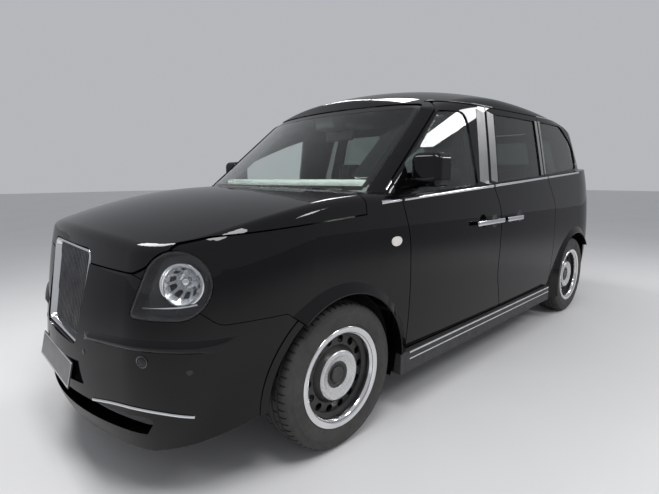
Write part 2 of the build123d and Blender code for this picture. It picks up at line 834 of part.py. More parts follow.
# Headlamp body with its bowl, and the clear lens in front of it
LAMP_FACE_INSET = 30
LAMP_SEAT = 0.3
LAMP_WALL = 8
LAMP_FLANGE_INSET = 16
LAMP_FLANGE_TOP = 880
lamp_flange = without(
    keep(front_hull(LAMP_FLANGE_INSET), lamp_prism(PANEL_GAP / 2 - LAMP_SEAT, -LAMP_DEPTH, LAMP_REACH)),
    block(-FAR, FAR, -FAR, FAR, LAMP_FLANGE_TOP, FAR),
)
lamp_recess = without(
    lamp_prism(-LAMP_WALL, -LAMP_DEPTH, LAMP_REACH), front_hull(LAMP_FACE_INSET + LENS)
)
lamp_block = keep(front_hull(LENS + LAMP_SEAT), lamp_prism(0, -LAMP_DEPTH, LAMP_REACH))
lamp_body = without(joined(lamp_block, lamp_flange), lamp_recess)
with BuildPart() as bowl:
    with BuildSketch(LAMP_PLANE.offset(-LAMP_DEPTH + 20)):
        with Locations(BOWL_CENTRE):
            Circle(BOWL_RADIUS / 2)
    with BuildSketch(LAMP_PLANE):
        with Locations(BOWL_CENTRE):
            Circle(BOWL_RADIUS)
    loft()
save(pair_of(without(lamp_body, bowl.part)), "headlamps")
lens = without(keep(FRONT[0], lamp_prism(0, -LAMP_DEPTH, LAMP_REACH)), front_hull(LENS))
save(pair_of(lens), "headlamp_lenses")

# Scuttle between bonnet and windscreen, with the two wipers that stand on it
SCUTTLE = (
    (-1600, 1000, 0),
    (-1600, HEIGHT, 0),
    (SCUTTLE_REAR_Y, HEIGHT, 0),
    (SCUTTLE_REAR_Y, 1000, 0),
)
scuttle_half = SCUTTLE_HALF - SEAT_GAP
scuttle = without(
    keep(
        whole_of(FRONT[0]),
        side_prism(SCUTTLE, inner_x=-FAR),
        block(-scuttle_half, scuttle_half, -FAR, 0, 0, HEIGHT),
        behind_bonnet(PANEL_GAP + 4),
    ),
    whole_of(FRONT[BONNET_SKIN]),
)
WIPER_INSETS = (-10, GLASS_OUTER - SEAT_GAP)
WIPERS = (
    # pivot x, blade from x, blade to x
    (-330, -560, 60),
    (330, 90, 640),
)
WIPER_Z = 1196
WIPER_HEIGHT = 13
WIPER_POST_Y = -1346
WIPER_POST_Z = (1110, 1176)
WIPER_POST_RADIUS = 9
WIPER_ARM = 16


def wiper(pivot_x, from_x, to_x):
    """Blade on the windscreen, its arm and the post that the arm turns on."""
    middle = (from_x + to_x) / 2
    blade = (
        (from_x, WIPER_Z - WIPER_HEIGHT / 2, 0),
        (to_x, WIPER_Z - WIPER_HEIGHT / 2, 0),
        (to_x, WIPER_Z + WIPER_HEIGHT / 2, 0),
        (from_x, WIPER_Z + WIPER_HEIGHT / 2, 0),
    )
    arm = (
        (pivot_x - WIPER_ARM / 2, WIPER_POST_Z[1] - WIPER_ARM / 2, 0),
        (middle, WIPER_Z - WIPER_HEIGHT / 2, 0),
        (middle, WIPER_Z + WIPER_HEIGHT / 2, 0),
        (pivot_x - WIPER_ARM / 2, WIPER_POST_Z[1] + WIPER_ARM / 2, 0),
    )
    bars = keep(wiper_layer, joined(end_prism(blade, -FAR, 0), end_prism(arm, -FAR, 0)))
    foot_z, head_z = WIPER_POST_Z
    post = rod(WIPER_POST_RADIUS, (pivot_x, WIPER_POST_Y, foot_z), (pivot_x, WIPER_POST_Y, head_z))
    return joined(bars, post)


outer_layer, inner_layer = (whole_of(loft_levels(CABIN_LEVELS, inset)) for inset in WIPER_INSETS)
wiper_layer = without(outer_layer, inner_layer)
save(joined(scuttle, *[wiper(*row) for row in WIPERS]), "scuttle")

# Side repeaters on the wings
REPEATER = (-1112, 936)
REPEATER_HALF_SIZE = (40, 24)
with BuildPart() as repeater:
    with BuildSketch(Plane.YZ.offset(HALF_BODY - 100)):
        with Locations(REPEATER):
            Ellipse(*REPEATER_HALF_SIZE)
    extrude(amount=100 - 21)
save(pair_of(without(repeater.part, FRONT[0])), "side_repeaters")

# Body side: fixed wall round the openings, lined by a frame that the doors shut against
FRAME_INWARD = 30
FRAME_OUTWARD = 22
BUMPER_REAR_SEAM = (
    (FAR, SILL_BOTTOM - 5, 0),
    (FAR, REAR_BUMPER_TOP, 0),
    (1990, REAR_BUMPER_TOP, 60),
    (1850, 590, 0),
    (1700, 590, 0),
    (1700, SILL_BOTTOM - 5, 0),
)
FRONT_DOMAIN = (
    (-FAR, 0, 0),
    (-FAR, belt_z(-FAR), 0),
    (-950, belt_z(-950), 0),
    (-950, 0, 0),
)


def door_frame(outline):
    """Frame behind a door's edge, a little larger and smaller than the door."""
    return without(
        keep(CABIN_POST, side_prism(outline, grow=FRAME_OUTWARD)),
        side_prism(outline, grow=-FRAME_INWARD),
    )


tail_lamp_block = end_prism(TAIL_LAMP, TAIL_LAMP_FRONT_Y, FAR)
body_wall = without(
    joined(CABIN_WALL, keep(arch_lip(REAR_AXLE_Y), block(0, FAR, 900, FAR, SILL_BOTTOM, HEIGHT))),
    above_roof_line,
    screen_opening,
    tailgate_opening,
    side_prism(FRONT_DOMAIN, inner_x=-FAR),
    FRONT[0],
    without(side_prism(FRONT_DOOR, grow=DOOR_CLEARANCE), pillar(-PANEL_GAP)),
    side_prism(REAR_DOOR, grow=DOOR_CLEARANCE),
    side_prism(QUARTER_WINDOW),
    side_prism(BUMPER_REAR_SEAM, grow=PANEL_GAP / 2, inner_x=-FAR),
    end_prism(TAIL_LAMP, TAIL_LAMP_FRONT_Y, FAR, grow=PANEL_GAP / 2),
    arch_cut(REAR_AXLE_Y),
)
wing_skin = keep(without(FRONT[0], front_hull(WALL + 1)), block(0, FAR, -FAR, -1000, 0, HEIGHT))
frames = without(joined(door_frame(FRONT_DOOR), door_frame(REAR_DOOR)), wing_skin)
body_side = joined(body_wall, frames)
left_right(body_side, "body_side")
save(pair_of(pane(QUARTER_WINDOW)), "quarter_windows")
save(pair_of(keep(CABIN_WALL, tail_lamp_block)), "tail_lamps")

# Rear bumper and plate
REAR_PLATE = (0, 2406, 520)
PLATE_MARGIN = 4
rear_plate_plane = plate_plane(REAR_PLATE, 1, 0)
plate_recess = plate_block(
    rear_plate_plane,
    PLATE_WIDTH + 2 * PLATE_MARGIN,
    PLATE_HEIGHT + 2 * PLATE_MARGIN,
    -PLATE_THICKNESS,
    WALL,
)
rear_bumper_left = without(
    joined(
        keep(CABIN_WALL, side_prism(BUMPER_REAR_SEAM, inner_x=-FAR)),
        keep(bumper_lip(REAR_AXLE_Y), side_prism(BUMPER_REAR_SEAM)),
    ),
    arch_cut(REAR_AXLE_Y),
    plate_recess,
)
save(whole_of(rear_bumper_left), "rear_bumper")

# Floor, bulkhead and wheelhouses in one welded piece
FLOOR_Z = 340
FLOOR_THICKNESS = 40
MAT_THICKNESS = 6
REAR_FLOOR_Z = 535
REAR_FLOOR_THICKNESS = 35
REAR_FLOOR_UNDERSIDE = REAR_FLOOR_Z - REAR_FLOOR_THICKNESS
BULKHEAD_Y = -1230
BULKHEAD_THICKNESS = 40
BULKHEAD_TOP = 1090
FRONT_HOUSE_X = 436
REAR_HOUSE_X = 615
STEP_Y = 1085
inner_front = FRONT[WALL]
inner_cabin = CABIN[POST_DEPTH]


def wheelhouse(axle_y, inner_x):
    """Round liner over a wheel."""
    shell = without(
        wheel_disc(axle_y, LINER_RADIUS + LINER_SKIN, inner_x, HALF_BODY),
        wheel_disc(axle_y, LINER_RADIUS, 0, FAR),
        block(0, FAR, axle_y - 500, axle_y + 500, -FAR, FLOOR_Z - FLOOR_THICKNESS),
    )
    return shell


front_house = keep(wheelhouse(FRONT_AXLE_Y, FRONT_HOUSE_X), inner_front)
rear_house = joined(
    keep(wheelhouse(REAR_AXLE_Y, REAR_HOUSE_X), CABIN[WALL]),
    without(
        wheel_disc(REAR_AXLE_Y, LINER_RADIUS + LINER_SKIN, REAR_HOUSE_X - LINER_SKIN, REAR_HOUSE_X),
        block(0, FAR, 900, FAR, -FAR, REAR_FLOOR_Z - REAR_FLOOR_THICKNESS),
    ),
)
floor_left = joined(
    keep(block(0, FAR, -1150, STEP_Y, FLOOR_Z - FLOOR_THICKNESS, FLOOR_Z), inner_cabin),
    keep(block(0, FAR, STEP_Y - 30, STEP_Y, FLOOR_Z - 1, REAR_FLOOR_Z), inner_cabin),
    keep(
        block(0, FAR, STEP_Y - 1, LENGTH / 2, REAR_FLOOR_Z - REAR_FLOOR_THICKNESS, REAR_FLOOR_Z),
        CABIN[WALL],
    ),
    keep(
        block(0, FAR, BULKHEAD_Y, BULKHEAD_Y + BULKHEAD_THICKNESS, FLOOR_Z - FLOOR_THICKNESS, BULKHEAD_TOP),
        inner_front,
    ),
    block(0, FRONT_HOUSE_X, BULKHEAD_Y, -1149, FLOOR_Z - FLOOR_THICKNESS, FLOOR_Z),
)
floor_left = without(
    floor_left,
    wheel_disc(FRONT_AXLE_Y, LINER_RADIUS, FRONT_HOUSE_X, FAR),
    wheel_disc(REAR_AXLE_Y, LINER_RADIUS, REAR_HOUSE_X, FAR),
)
rail = keep(block(362, FRONT_HOUSE_X, -2400, BULKHEAD_Y + 1, 400, 520), inner_front)
cabin_mat = block(0, 560, 300, 1000, FLOOR_Z - 1, FLOOR_Z + MAT_THICKNESS)
luggage_mat = block(0, 500, 1770, 2180, REAR_FLOOR_Z - 1, REAR_FLOOR_Z + MAT_THICKNESS)
floor_left = joined(floor_left, front_house, rear_house, rail, cabin_mat, luggage_mat)
floor_pan = whole_of(floor_left)
save(floor_pan, "floor_pan")

# Blank number plates
front_plate = plate_block(front_plate_plane, PLATE_WIDTH, PLATE_HEIGHT, 0, PLATE_THICKNESS)
rear_plate = plate_block(rear_plate_plane, PLATE_WIDTH, PLATE_HEIGHT, -PLATE_THICKNESS, 0)
save(joined(front_plate, rear_plate), "number_plates")

# Sill steps under the doors
STEP_OUTER_X = 926
SHUT_MARGIN = 4
STEP_TOP = SILL_TOP - 3
step = without(
    block(830, STEP_OUTER_X, FRONT_AXLE_Y + ARCH_RADIUS + SHUT_MARGIN, 940, SILL_BOTTOM + 15, STEP_TOP),
    keep(CABIN[0], block(0, FAR, -1100, 1000, 0, SILL_TOP + 40)),
)
save(pair_of(step), "sill_steps")

# Underfloor masses
save(block(-520, 520, -600, 700, 205, FLOOR_Z - FLOOR_THICKNESS), "battery_pack")
save(block(-330, 330, -2080, -1560, 300, 900), "engine_block")

# Front subframe with its lower arms
ARM_Z = 235
ARM_HALF_WIDTH = 34
ARM_FRONT_Y = FRONT_AXLE_Y - ARM_HALF_WIDTH
BALL_RADIUS = 26
subframe_left = joined(
    block(0, 430, -1560, -1380, 210, 290),
    block(364, 434, -1520, -1420, 289, 400),
    block(428, KINGPIN_X, ARM_FRONT_Y, ARM_FRONT_Y + 2 * ARM_HALF_WIDTH, ARM_Z - 15, ARM_Z + 15),
    rod(BALL_RADIUS + 4, (KINGPIN_X, FRONT_AXLE_Y, ARM_Z - 15), (KINGPIN_X, FRONT_AXLE_Y, ARM_Z + 15)),
)
subframe = joined(whole_of(subframe_left), block(-100, 100, -1640, -1559, 215, 300))
save(subframe, "front_subframe")

# Wheels: hub face, brake disc and rim all turn about the same axis
HUB_FACE_X = 835
HUB_RADIUS = 70
SPIGOT_RADIUS = 32
DISC_RADIUS = 150
DISC_X = (734, 756)
RUNNING_FIT = 0.3


def hub(axle_y):
    """Brake disc, hub flange and spigot that carry one wheel."""
    with BuildPart() as carrier:
        for radius, x0, x1 in (
            (48, KINGPIN_X, DISC_X[0]),
            (DISC_RADIUS, *DISC_X),
            (HUB_RADIUS, DISC_X[1], HUB_FACE_X - RUNNING_FIT),
            (SPIGOT_RADIUS, HUB_FACE_X - RUNNING_FIT, HUB_FACE_X + 22),
        ):
            add(rod(radius, (x0, axle_y, TYRE_RADIUS), (x1, axle_y, TYRE_RADIUS)))
    return carrier.part


STRUT_X = 658
STRUT_TOP = 732
knuckle = joined(
    hub(FRONT_AXLE_Y),
    rod(30, (KINGPIN_X, FRONT_AXLE_Y, ARM_Z + 15 + RUNNING_FIT), (KINGPIN_X, FRONT_AXLE_Y, 500)),
    block(STRUT_X - 5, KINGPIN_X, FRONT_AXLE_Y - 22, FRONT_AXLE_Y + 22, 430, 498),
    rod(24, (STRUT_X, FRONT_AXLE_Y, 425), (STRUT_X, FRONT_AXLE_Y, STRUT_TOP)),
)
left_right(knuckle, "knuckle")

AXLE_TUBE_RADIUS = 42
rear_axle_left = joined(
    hub(REAR_AXLE_Y),
    rod(AXLE_TUBE_RADIUS, (0, REAR_AXLE_Y, TYRE_RADIUS), (KINGPIN_X + 1, REAR_AXLE_Y, TYRE_RADIUS)),
    block(0, 160, REAR_AXLE_Y - 170, REAR_AXLE_Y + 170, 235, 470),
    rod(52, (470, REAR_AXLE_Y, TYRE_RADIUS), (470, REAR_AXLE_Y, REAR_FLOOR_UNDERSIDE - SEAT_GAP)),
    block(440, 500, STEP_Y + SEAT_GAP, REAR_AXLE_Y, TYRE_RADIUS - 30, TYRE_RADIUS + 20),
)
save(whole_of(rear_axle_left), "rear_axle")

# Tyre and rim sections about the wheel's axis, offsets from the wheel's centre plane
RIM_SEAT_RADIUS = 214
RIM_WALL = 7
RIM_HALF = 98
FLANGE_WIDTH = 8
WEB_HOLES = 14
WEB_HOLE_RADIUS = 19
WEB_HOLE_CIRCLE = 165


def wheel_plane(axle_y, across, out):
    """Plane through the middle of a left wheel."""
    return Plane(origin=(WHEEL_CENTRE_X, axle_y, TYRE_RADIUS), x_dir=across, z_dir=out)


def tyre(axle_y):
    """Tyre with bulged sides and rounded shoulders."""
    bead = RIM_HALF - FLANGE_WIDTH - 1.5
    half = TYRE_WIDTH / 2
    section = (
        # offset along the axle, radius, corner radius
        (bead, RIM_SEAT_RADIUS + RUNNING_FIT, 0),
        (bead, RIM_RADIUS + 4, 4),
        (half, RIM_RADIUS + 48, 30),
        (half, RIM_RADIUS + 70, 20),
        (half - 14, TYRE_RADIUS - 6, 14),
        (half - 48, TYRE_RADIUS, 40),
    )
    corners = list(section) + [(-u, v, radius) for u, v, radius in reversed(section)]
    with BuildPart() as ring:
        with BuildSketch(wheel_plane(axle_y, (1, 0, 0), (0, -1, 0))):
            with BuildLine():
                FilletPolyline(*points_of(corners), radius=radii_of(corners), close=True)
            make_face()
        revolve(axis=Axis((0, axle_y, TYRE_RADIUS), (1, 0, 0)), revolution_arc=360)
    return ring.part


WEB = (
    # offset along the axle, radius: outer face of the wheel's web from the hub to the barrel
    (HUB_FACE_X - WHEEL_CENTRE_X + 10, 78),
    (66, 92),
    (72, 118),
    (46, 138),
    (42, 186),
    (56, 209),
)
WEB_THICKNESS = 8


def rim(axle_y):
    """Steel wheel: barrel with flanges, dished web with round holes and a centre bore."""
    with BuildPart() as wheel:
        with BuildSketch(wheel_plane(axle_y, (1, 0, 0), (0, -1, 0))):
            with BuildLine():
                Polyline(
                    (-RIM_HALF, RIM_SEAT_RADIUS - RIM_WALL),
                    (RIM_HALF, RIM_SEAT_RADIUS - RIM_WALL),
                    (RIM_HALF, RIM_RADIUS),
                    (RIM_HALF - FLANGE_WIDTH, RIM_RADIUS),
                    (RIM_HALF - FLANGE_WIDTH, RIM_SEAT_RADIUS),
                    (FLANGE_WIDTH - RIM_HALF, RIM_SEAT_RADIUS),
                    (FLANGE_WIDTH - RIM_HALF, RIM_RADIUS),
                    (-RIM_HALF, RIM_RADIUS),
                    close=True,
                )
            make_face()
            with BuildLine():
                pad = HUB_FACE_X - WHEEL_CENTRE_X
                bore = SPIGOT_RADIUS + RUNNING_FIT
                outer = [(pad + 10, bore)] + list(WEB)
                inner = [(u - WEB_THICKNESS, v) for u, v in reversed(WEB[1:])] + [(pad, 84), (pad, bore)]
                Polyline(*outer, *inner, close=True)
            make_face()
        revolve(axis=Axis((0, axle_y, TYRE_RADIUS), (1, 0, 0)), revolution_arc=360)
        with BuildSketch(wheel_plane(axle_y, (0, 1, 0), (1, 0, 0))):
            with PolarLocations(WEB_HOLE_CIRCLE, WEB_HOLES):
                Circle(WEB_HOLE_RADIUS)
        extrude(amount=RIM_HALF, mode=Mode.SUBTRACT)
    return wheel.part


for name, axle_y in WHEELS.items():
    left_right(tyre(axle_y), "tyre_" + name)
    left_right(rim(axle_y), "rim_" + name)

# Door mirrors on the front corner of the front windows
MIRROR_OUTER_X = WIDTH_OVER_MIRRORS / 2
MIRROR = (MIRROR_OUTER_X - 175, MIRROR_OUTER_X, -925, -820, 1194, 1368)
with BuildPart() as mirror_left:
    add(block(*MIRROR))
    fillet(mirror_left.edges().filter_by(Axis.Y), 42)
    fillet(mirror_left.faces().sort_by(Axis.Y)[0].edges(), 30)
    add(block(845, MIRROR[0] + 40, -1000, -860, 1200, 1238))
mirror_left_part = without(mirror_left.part, CABIN[0])
left_right(mirror_left_part, "mirror")

# Cabin fittings
DRIVER_X = -370
DASH_FRONT_Y = BULKHEAD_Y + BULKHEAD_THICKNESS + SEAT_GAP
DASH = (
    # y, z, radius
    (DASH_FRONT_Y, 700, 20),
    (DASH_FRONT_Y, 1118, 20),
    (-900, 1128, 60),
    (-800, 1060, 50),
    (-800, 960, 30),
    (-880, 900, 30),
    (-900, 700, 20),
)
DASH_HALF = 745
dashboard_left = side_prism(DASH, inner_x=0, outer_x=DASH_HALF)
STEERING_TILT = 25
STEERING_CENTRE = (DRIVER_X, -640, 1015)
STEERING_RADIUS = 185
STEERING_RIM = 15
steering_plane = Plane(
    origin=STEERING_CENTRE,
    x_dir=(1, 0, 0),
    z_dir=(0, cos(radians(STEERING_TILT)), sin(radians(STEERING_TILT))),
)
HUB_DEPTH = 26
COLUMN_RADIUS = 34
COLUMN_LENGTH = 70
with BuildPart() as dashboard:
    add(whole_of(dashboard_left))
    with BuildSketch(steering_plane.offset(-HUB_DEPTH - COLUMN_LENGTH - SEAT_GAP)):
        Circle(COLUMN_RADIUS)
    extrude(amount=-120)
save(dashboard.part, "dashboard")
with BuildPart() as steering_wheel:
    with BuildSketch(steering_plane):
        Circle(STEERING_RADIUS + STEERING_RIM)
        Circle(STEERING_RADIUS - STEERING_RIM, mode=Mode.SUBTRACT)
        for angle in (0, 180, 270):
            with Locations(Location((0, 0), angle)):
                with Locations((STEERING_RADIUS / 2, 0)):
                    Rectangle(STEERING_RADIUS, 34)
        Circle(58)
    extrude(amount=-HUB_DEPTH)
    with BuildSketch(steering_plane.offset(-HUB_DEPTH)):
        Circle(COLUMN_RADIUS)
    extrude(amount=-COLUMN_LENGTH)
save(steering_wheel.part, "steering_wheel")

# Driver's seat on its box
SEAT_X = (DRIVER_X - 235, DRIVER_X + 235)
SEAT_EDGE = 28
DRIVER_CUSHION = (-640, -150, 520, 640)
DRIVER_BACK = (-190, -60, 600, 1180)
HEADREST = (-150, -75, 1195, 1370)


def cushion(x0, x1, y0, y1, z0, z1, edge):
    """Padded block with rounded edges."""
    with BuildPart() as pad:
        add(block(x0, x1, y0, y1, z0, z1))
        fillet(pad.edges(), edge)
    return pad.part


driver_seat = joined(
    cushion(*SEAT_X, *DRIVER_CUSHION, SEAT_EDGE),
    cushion(*SEAT_X, *DRIVER_BACK, SEAT_EDGE),
    cushion(DRIVER_X - 120, DRIVER_X + 120, *HEADREST, SEAT_EDGE),
    block(DRIVER_X - 60, DRIVER_X + 60, -125, -105, 1160, 1215),
)
save(driver_seat, "driver_seat")
driver_box = block(DRIVER_X - 190, DRIVER_X + 190, -600, -190, FLOOR_Z, DRIVER_CUSHION[2] - SEAT_GAP)
save(driver_box, "driver_seat_box")

# Rear bench ahead of the luggage space
BENCH_HALF = 598
BENCH_CUSHION = (1110, 1640, REAR_FLOOR_Z + 85, REAR_FLOOR_Z + 235)
BENCH_BACK = (1590, 1710, REAR_FLOOR_Z + 130, 1390)
rear_bench = joined(
    cushion(-BENCH_HALF, BENCH_HALF, *BENCH_CUSHION, SEAT_EDGE),
    cushion(-BENCH_HALF, BENCH_HALF, *BENCH_BACK, SEAT_EDGE),
)
save(rear_bench, "rear_bench")
bench_box = block(-BENCH_HALF + 20, BENCH_HALF - 20, 1140, 1700, REAR_FLOOR_Z, BENCH_CUSHION[2] - SEAT_GAP)
save(bench_box, "rear_bench_box")

# Partition behind the driver with its window and two folded seats
PARTITION_Y = (8, 30)
PARTITION_HALF = 720
PARTITION_TOP = 1640
PARTITION = mirrored(((PARTITION_HALF, FLOOR_Z, 20), (PARTITION_HALF, 1250, 200), (600, PARTITION_TOP, 90)))
PARTITION_WINDOW = mirrored(((600, 1080, 40), (600, 1250, 100), (520, 1575, 60)))
save(
    without(
        end_prism(PARTITION, *PARTITION_Y),
        end_prism(PARTITION_WINDOW, PARTITION_Y[0] - 1, PARTITION_Y[1] + 1),
    ),
    "partition",
)
save(end_prism(PARTITION_WINDOW, PARTITION_Y[0] + 8, PARTITION_Y[1] - 8, grow=-SEAT_GAP), "partition_glass")
JUMP_SEAT = (110, 510, PARTITION_Y[1] + SEAT_GAP, PARTITION_Y[1] + 120, 480, 1010)
save(pair_of(cushion(*JUMP_SEAT, SEAT_EDGE)), "folding_seats")
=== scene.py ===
"""Looks of a black city taxi cab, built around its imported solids."""

import logging
import math
from dataclasses import dataclass, field
from enum import Enum
from typing import Callable, Iterable, Protocol, Sequence

import bmesh
import bpy
from mathutils import Matrix, Vector
from mathutils.bvhtree import BVHTree

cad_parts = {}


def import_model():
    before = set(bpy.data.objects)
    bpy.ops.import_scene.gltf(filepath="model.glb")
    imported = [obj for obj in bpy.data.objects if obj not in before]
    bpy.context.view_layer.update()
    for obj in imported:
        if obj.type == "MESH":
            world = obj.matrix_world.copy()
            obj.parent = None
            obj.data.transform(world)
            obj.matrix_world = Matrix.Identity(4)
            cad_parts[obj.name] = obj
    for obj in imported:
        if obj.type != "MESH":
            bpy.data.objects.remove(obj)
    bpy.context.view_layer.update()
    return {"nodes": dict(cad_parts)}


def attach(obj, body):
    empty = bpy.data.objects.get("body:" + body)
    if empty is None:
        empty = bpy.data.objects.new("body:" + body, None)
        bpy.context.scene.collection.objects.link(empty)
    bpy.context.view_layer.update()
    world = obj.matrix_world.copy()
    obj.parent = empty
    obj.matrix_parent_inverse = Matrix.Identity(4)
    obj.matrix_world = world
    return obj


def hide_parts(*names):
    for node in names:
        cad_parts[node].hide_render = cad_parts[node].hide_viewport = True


Pair = tuple[float, float]
Triple = tuple[float, float, float]
Line = Sequence[Sequence[float]]
Profile = Sequence[Pair]
Ray = tuple[Vector, Vector]
RayMaker = Callable[[float, float], Ray]
Socket = bpy.types.NodeSocket
Mesh = bmesh.types.BMesh

LOG = logging.getLogger("taxi")
WHEEL_RADIUS = 0.345
WHEEL_X = 0.8
AXLES = {"front": -1.47, "rear": 1.515}
SIDES = {"left": 1, "right": -1}
QUARTERS = ((-1, -1), (1, -1), (1, 1), (-1, 1))
OUTSIDE_X = 1.4
OUTSIDE_Y = 2.9


class Coat(Enum):
    """Names of the finishes."""

    PAINT = "gloss_black_paint"
    CHROME = "polished_chrome"
    SATIN = "satin_metal"
    DARK_CHROME = "dark_chrome"
    TRIM = "black_trim"
    PLASTIC = "grained_plastic"
    UNDER = "underseal"
    CAST = "cast_metal"
    ALLOY = "cast_alloy"
    RUBBER = "tyre_rubber"
    DISC = "dark_wheel_paint"
    SILVER = "silver_wheel_paint"
    RING = "bright_wheel_trim"
    CLEAR = "clear_side_glass"
    TINT = "dark_tinted_glass"
    LENS = "clear_lens"
    AMBER = "amber_lens"
    RED = "red_lens"
    GLOW = "bright_red_lens"
    HOUSING = "lamp_housing"
    REFLECTOR = "lamp_reflector"
    FRIT = "glass_border"
    DASH = "pale_dash"
    LEATHER = "seat_leather"
    PLATE = "blank_plate"
    MIRROR = "mirror_glass"


class Bench:
    """Node tree of one material, with short calls for adding and joining nodes."""

    def __init__(self, name: str) -> None:
        """Start an empty material with its output and main shader.

        Args:
            name: Name of the material.
        """
        self.material = bpy.data.materials.new(name)
        self.material.use_nodes = True
        self.tree = self.material.node_tree
        self.tree.nodes.clear()
        self.output = self.tree.nodes.new("ShaderNodeOutputMaterial")
        self.shader = self.tree.nodes.new("ShaderNodeBsdfPrincipled")
        self.link(self.shader.outputs[0], self.output.inputs["Surface"])

    def add(self, kind: str, **values: object) -> bpy.types.Node:
        """Add a node.

        Args:
            kind: Node type without its ShaderNode prefix.
            values: Socket values by name, or node attributes.

        Returns:
            The new node.
        """
        node = self.tree.nodes.new("ShaderNode" + kind)
        for name, value in values.items():
            label = name.replace("_", " ").title()
            if label in node.inputs:
                node.inputs[label].default_value = value
            else:
                setattr(node, name, value)
        return node

    def link(self, source: Socket, target: Socket) -> None:
        """Join two sockets."""
        self.tree.links.new(source, target)

    def place(self) -> Socket:
        """Object coordinates in metres."""
        return self.add("TexCoord").outputs["Object"]

    def noise(self, scale: float, detail: float = 3.0, rough: float = 0.55) -> Socket:
        """Noise on object coordinates.

        Args:
            scale: Patches to the metre.
            detail: How many finer layers it has.
            rough: How strong the finer layers are.

        Returns:
            Its value, from 0 to 1.
        """
        node = self.add("TexNoise", scale=scale, detail=detail, roughness=rough)
        self.link(self.place(), node.inputs["Vector"])
        return node.outputs["Fac"]

    def spread(self, source: Socket, low: float, high: float) -> Socket:
        """Map the middle of a noise to a range.

        Args:
            source: The noise.
            low: Value for its dark patches.
            high: Value for its light patches.

        Returns:
            The mapped value.
        """
        node = self.add("MapRange", clamp=True)
        for label, value in (("From Min", 0.3), ("From Max", 0.7), ("To Min", low), ("To Max", high)):
            node.inputs[label].default_value = value
        self.link(source, node.inputs["Value"])
        return node.outputs["Result"]

    def mottle(self, scale: float, colour: Triple, shade: Triple) -> None:
        """Give the shader a cloudy base colour between two close shades.

        Args:
            scale: Patches to the metre.
            colour: The one shade.
            shade: The other shade.
        """
        node = self.add("Mix", data_type="RGBA")
        node.inputs[6].default_value = (*colour, 1)
        node.inputs[7].default_value = (*shade, 1)
        self.link(self.spread(self.noise(scale, 5.0), 0, 1), node.inputs["Factor"])
        self.link(node.outputs[2], self.shader.inputs["Base Color"])

    def bump(self, source: Socket, strength: float, distance: float) -> None:
        """Raise the surface by a height.

        Args:
            source: The height, from 0 to 1.
            strength: How much of it shows.
            distance: Height in metres where it is 1.
        """
        node = self.add("Bump", strength=strength, distance=distance)
        self.link(source, node.inputs["Height"])
        self.link(node.outputs["Normal"], self.shader.inputs["Normal"])

    def set(self, **values: object) -> None:
        """Set sockets of the main shader.

        Args:
            values: Socket values by name.
        """
        for name, value in values.items():
            label = name.replace("_", " ").title().replace("Ior", "IOR")
            self.shader.inputs[label].default_value = value


@dataclass(frozen=True)
class Finish:
    """Opaque finish: two close shades, a roughness range and a fine surface grain."""

    colour: Triple
    shade: Triple
    rough: Pair
    metal: float = 0.0
    coat: float = 0.0
    patch: float = 6.0
    grain: float = 0.0
    grain_scale: float = 900.0
    grain_depth: float = 0.0004
    specular: float = 0.5
    smear: float = 4.3
    coat_rough: float = 0.02

    def build(self, name: str) -> bpy.types.Material:
        """Make the material.

        Args:
            name: Name of the material.

        Returns:
            Material with cloudy shade, uneven polish and grain.
        """
        bench = Bench(name)
        bench.mottle(self.patch, self.colour, self.shade)
        smear = bench.noise(self.patch * self.smear, 4.0)
        bench.link(bench.spread(smear, *self.rough), bench.shader.inputs["Roughness"])
        bench.set(metallic=self.metal, coat_weight=self.coat, coat_roughness=self.coat_rough)
        bench.set(specular_ior_level=self.specular)
        if self.grain:
            bench.bump(bench.noise(self.grain_scale, 2.0), self.grain, self.grain_depth)
        return bench.material


@dataclass(frozen=True)
class Glass:
    """Clear or tinted pane that lets light through to what is behind it."""

    tint: Triple
    rough: float = 0.0
    index: float = 1.45
    dust: float = 0.02
    dust_scale: float = 40.0

    def build(self, name: str) -> bpy.types.Material:
        """Make the material.

        Args:
            name: Name of the material.

        Returns:
            Transmitting material whose shadow is the tint.
        """
        bench = Bench(name)
        colour = (*self.tint, 1)
        bench.set(roughness=self.rough, ior=self.index, transmission_weight=1.0, base_color=colour)
        dust = bench.spread(bench.noise(self.dust_scale, 4.0), self.rough, self.rough + self.dust)
        bench.link(dust, bench.shader.inputs["Roughness"])
        clear = bench.add("BsdfTransparent", color=colour)
        path = bench.add("LightPath")
        mix = bench.add("MixShader")
        bench.link(path.outputs["Is Shadow Ray"], mix.inputs["Fac"])
        bench.link(bench.shader.outputs[0], mix.inputs[1])
        bench.link(clear.outputs[0], mix.inputs[2])
        bench.link(mix.outputs[0], bench.output.inputs["Surface"])
        return bench.material


@dataclass(frozen=True)
class Leather:
    """Grained leather with pores and worn shine."""

    colour: Triple
    shade: Triple
    rough: Pair = (0.38, 0.6)
    patch: float = 7.0
    smear: float = 30.0
    pores: float = 420.0
    pore_strength: float = 0.35
    pore_depth: float = 0.0006
    sheen: float = 0.15

    def build(self, name: str) -> bpy.types.Material:
        """Make the material.

        Args:
            name: Name of the material.

        Returns:
            Material with a cell grain and soft sheen.
        """
        bench = Bench(name)
        bench.mottle(self.patch, self.colour, self.shade)
        cells = bench.add("TexVoronoi", scale=self.pores)
        bench.link(bench.place(), cells.inputs["Vector"])
        bench.link(bench.spread(bench.noise(self.smear), *self.rough), bench.shader.inputs["Roughness"])
        bench.set(sheen_weight=self.sheen)
        bench.bump(cells.outputs["Distance"], self.pore_strength, self.pore_depth)
        return bench.material


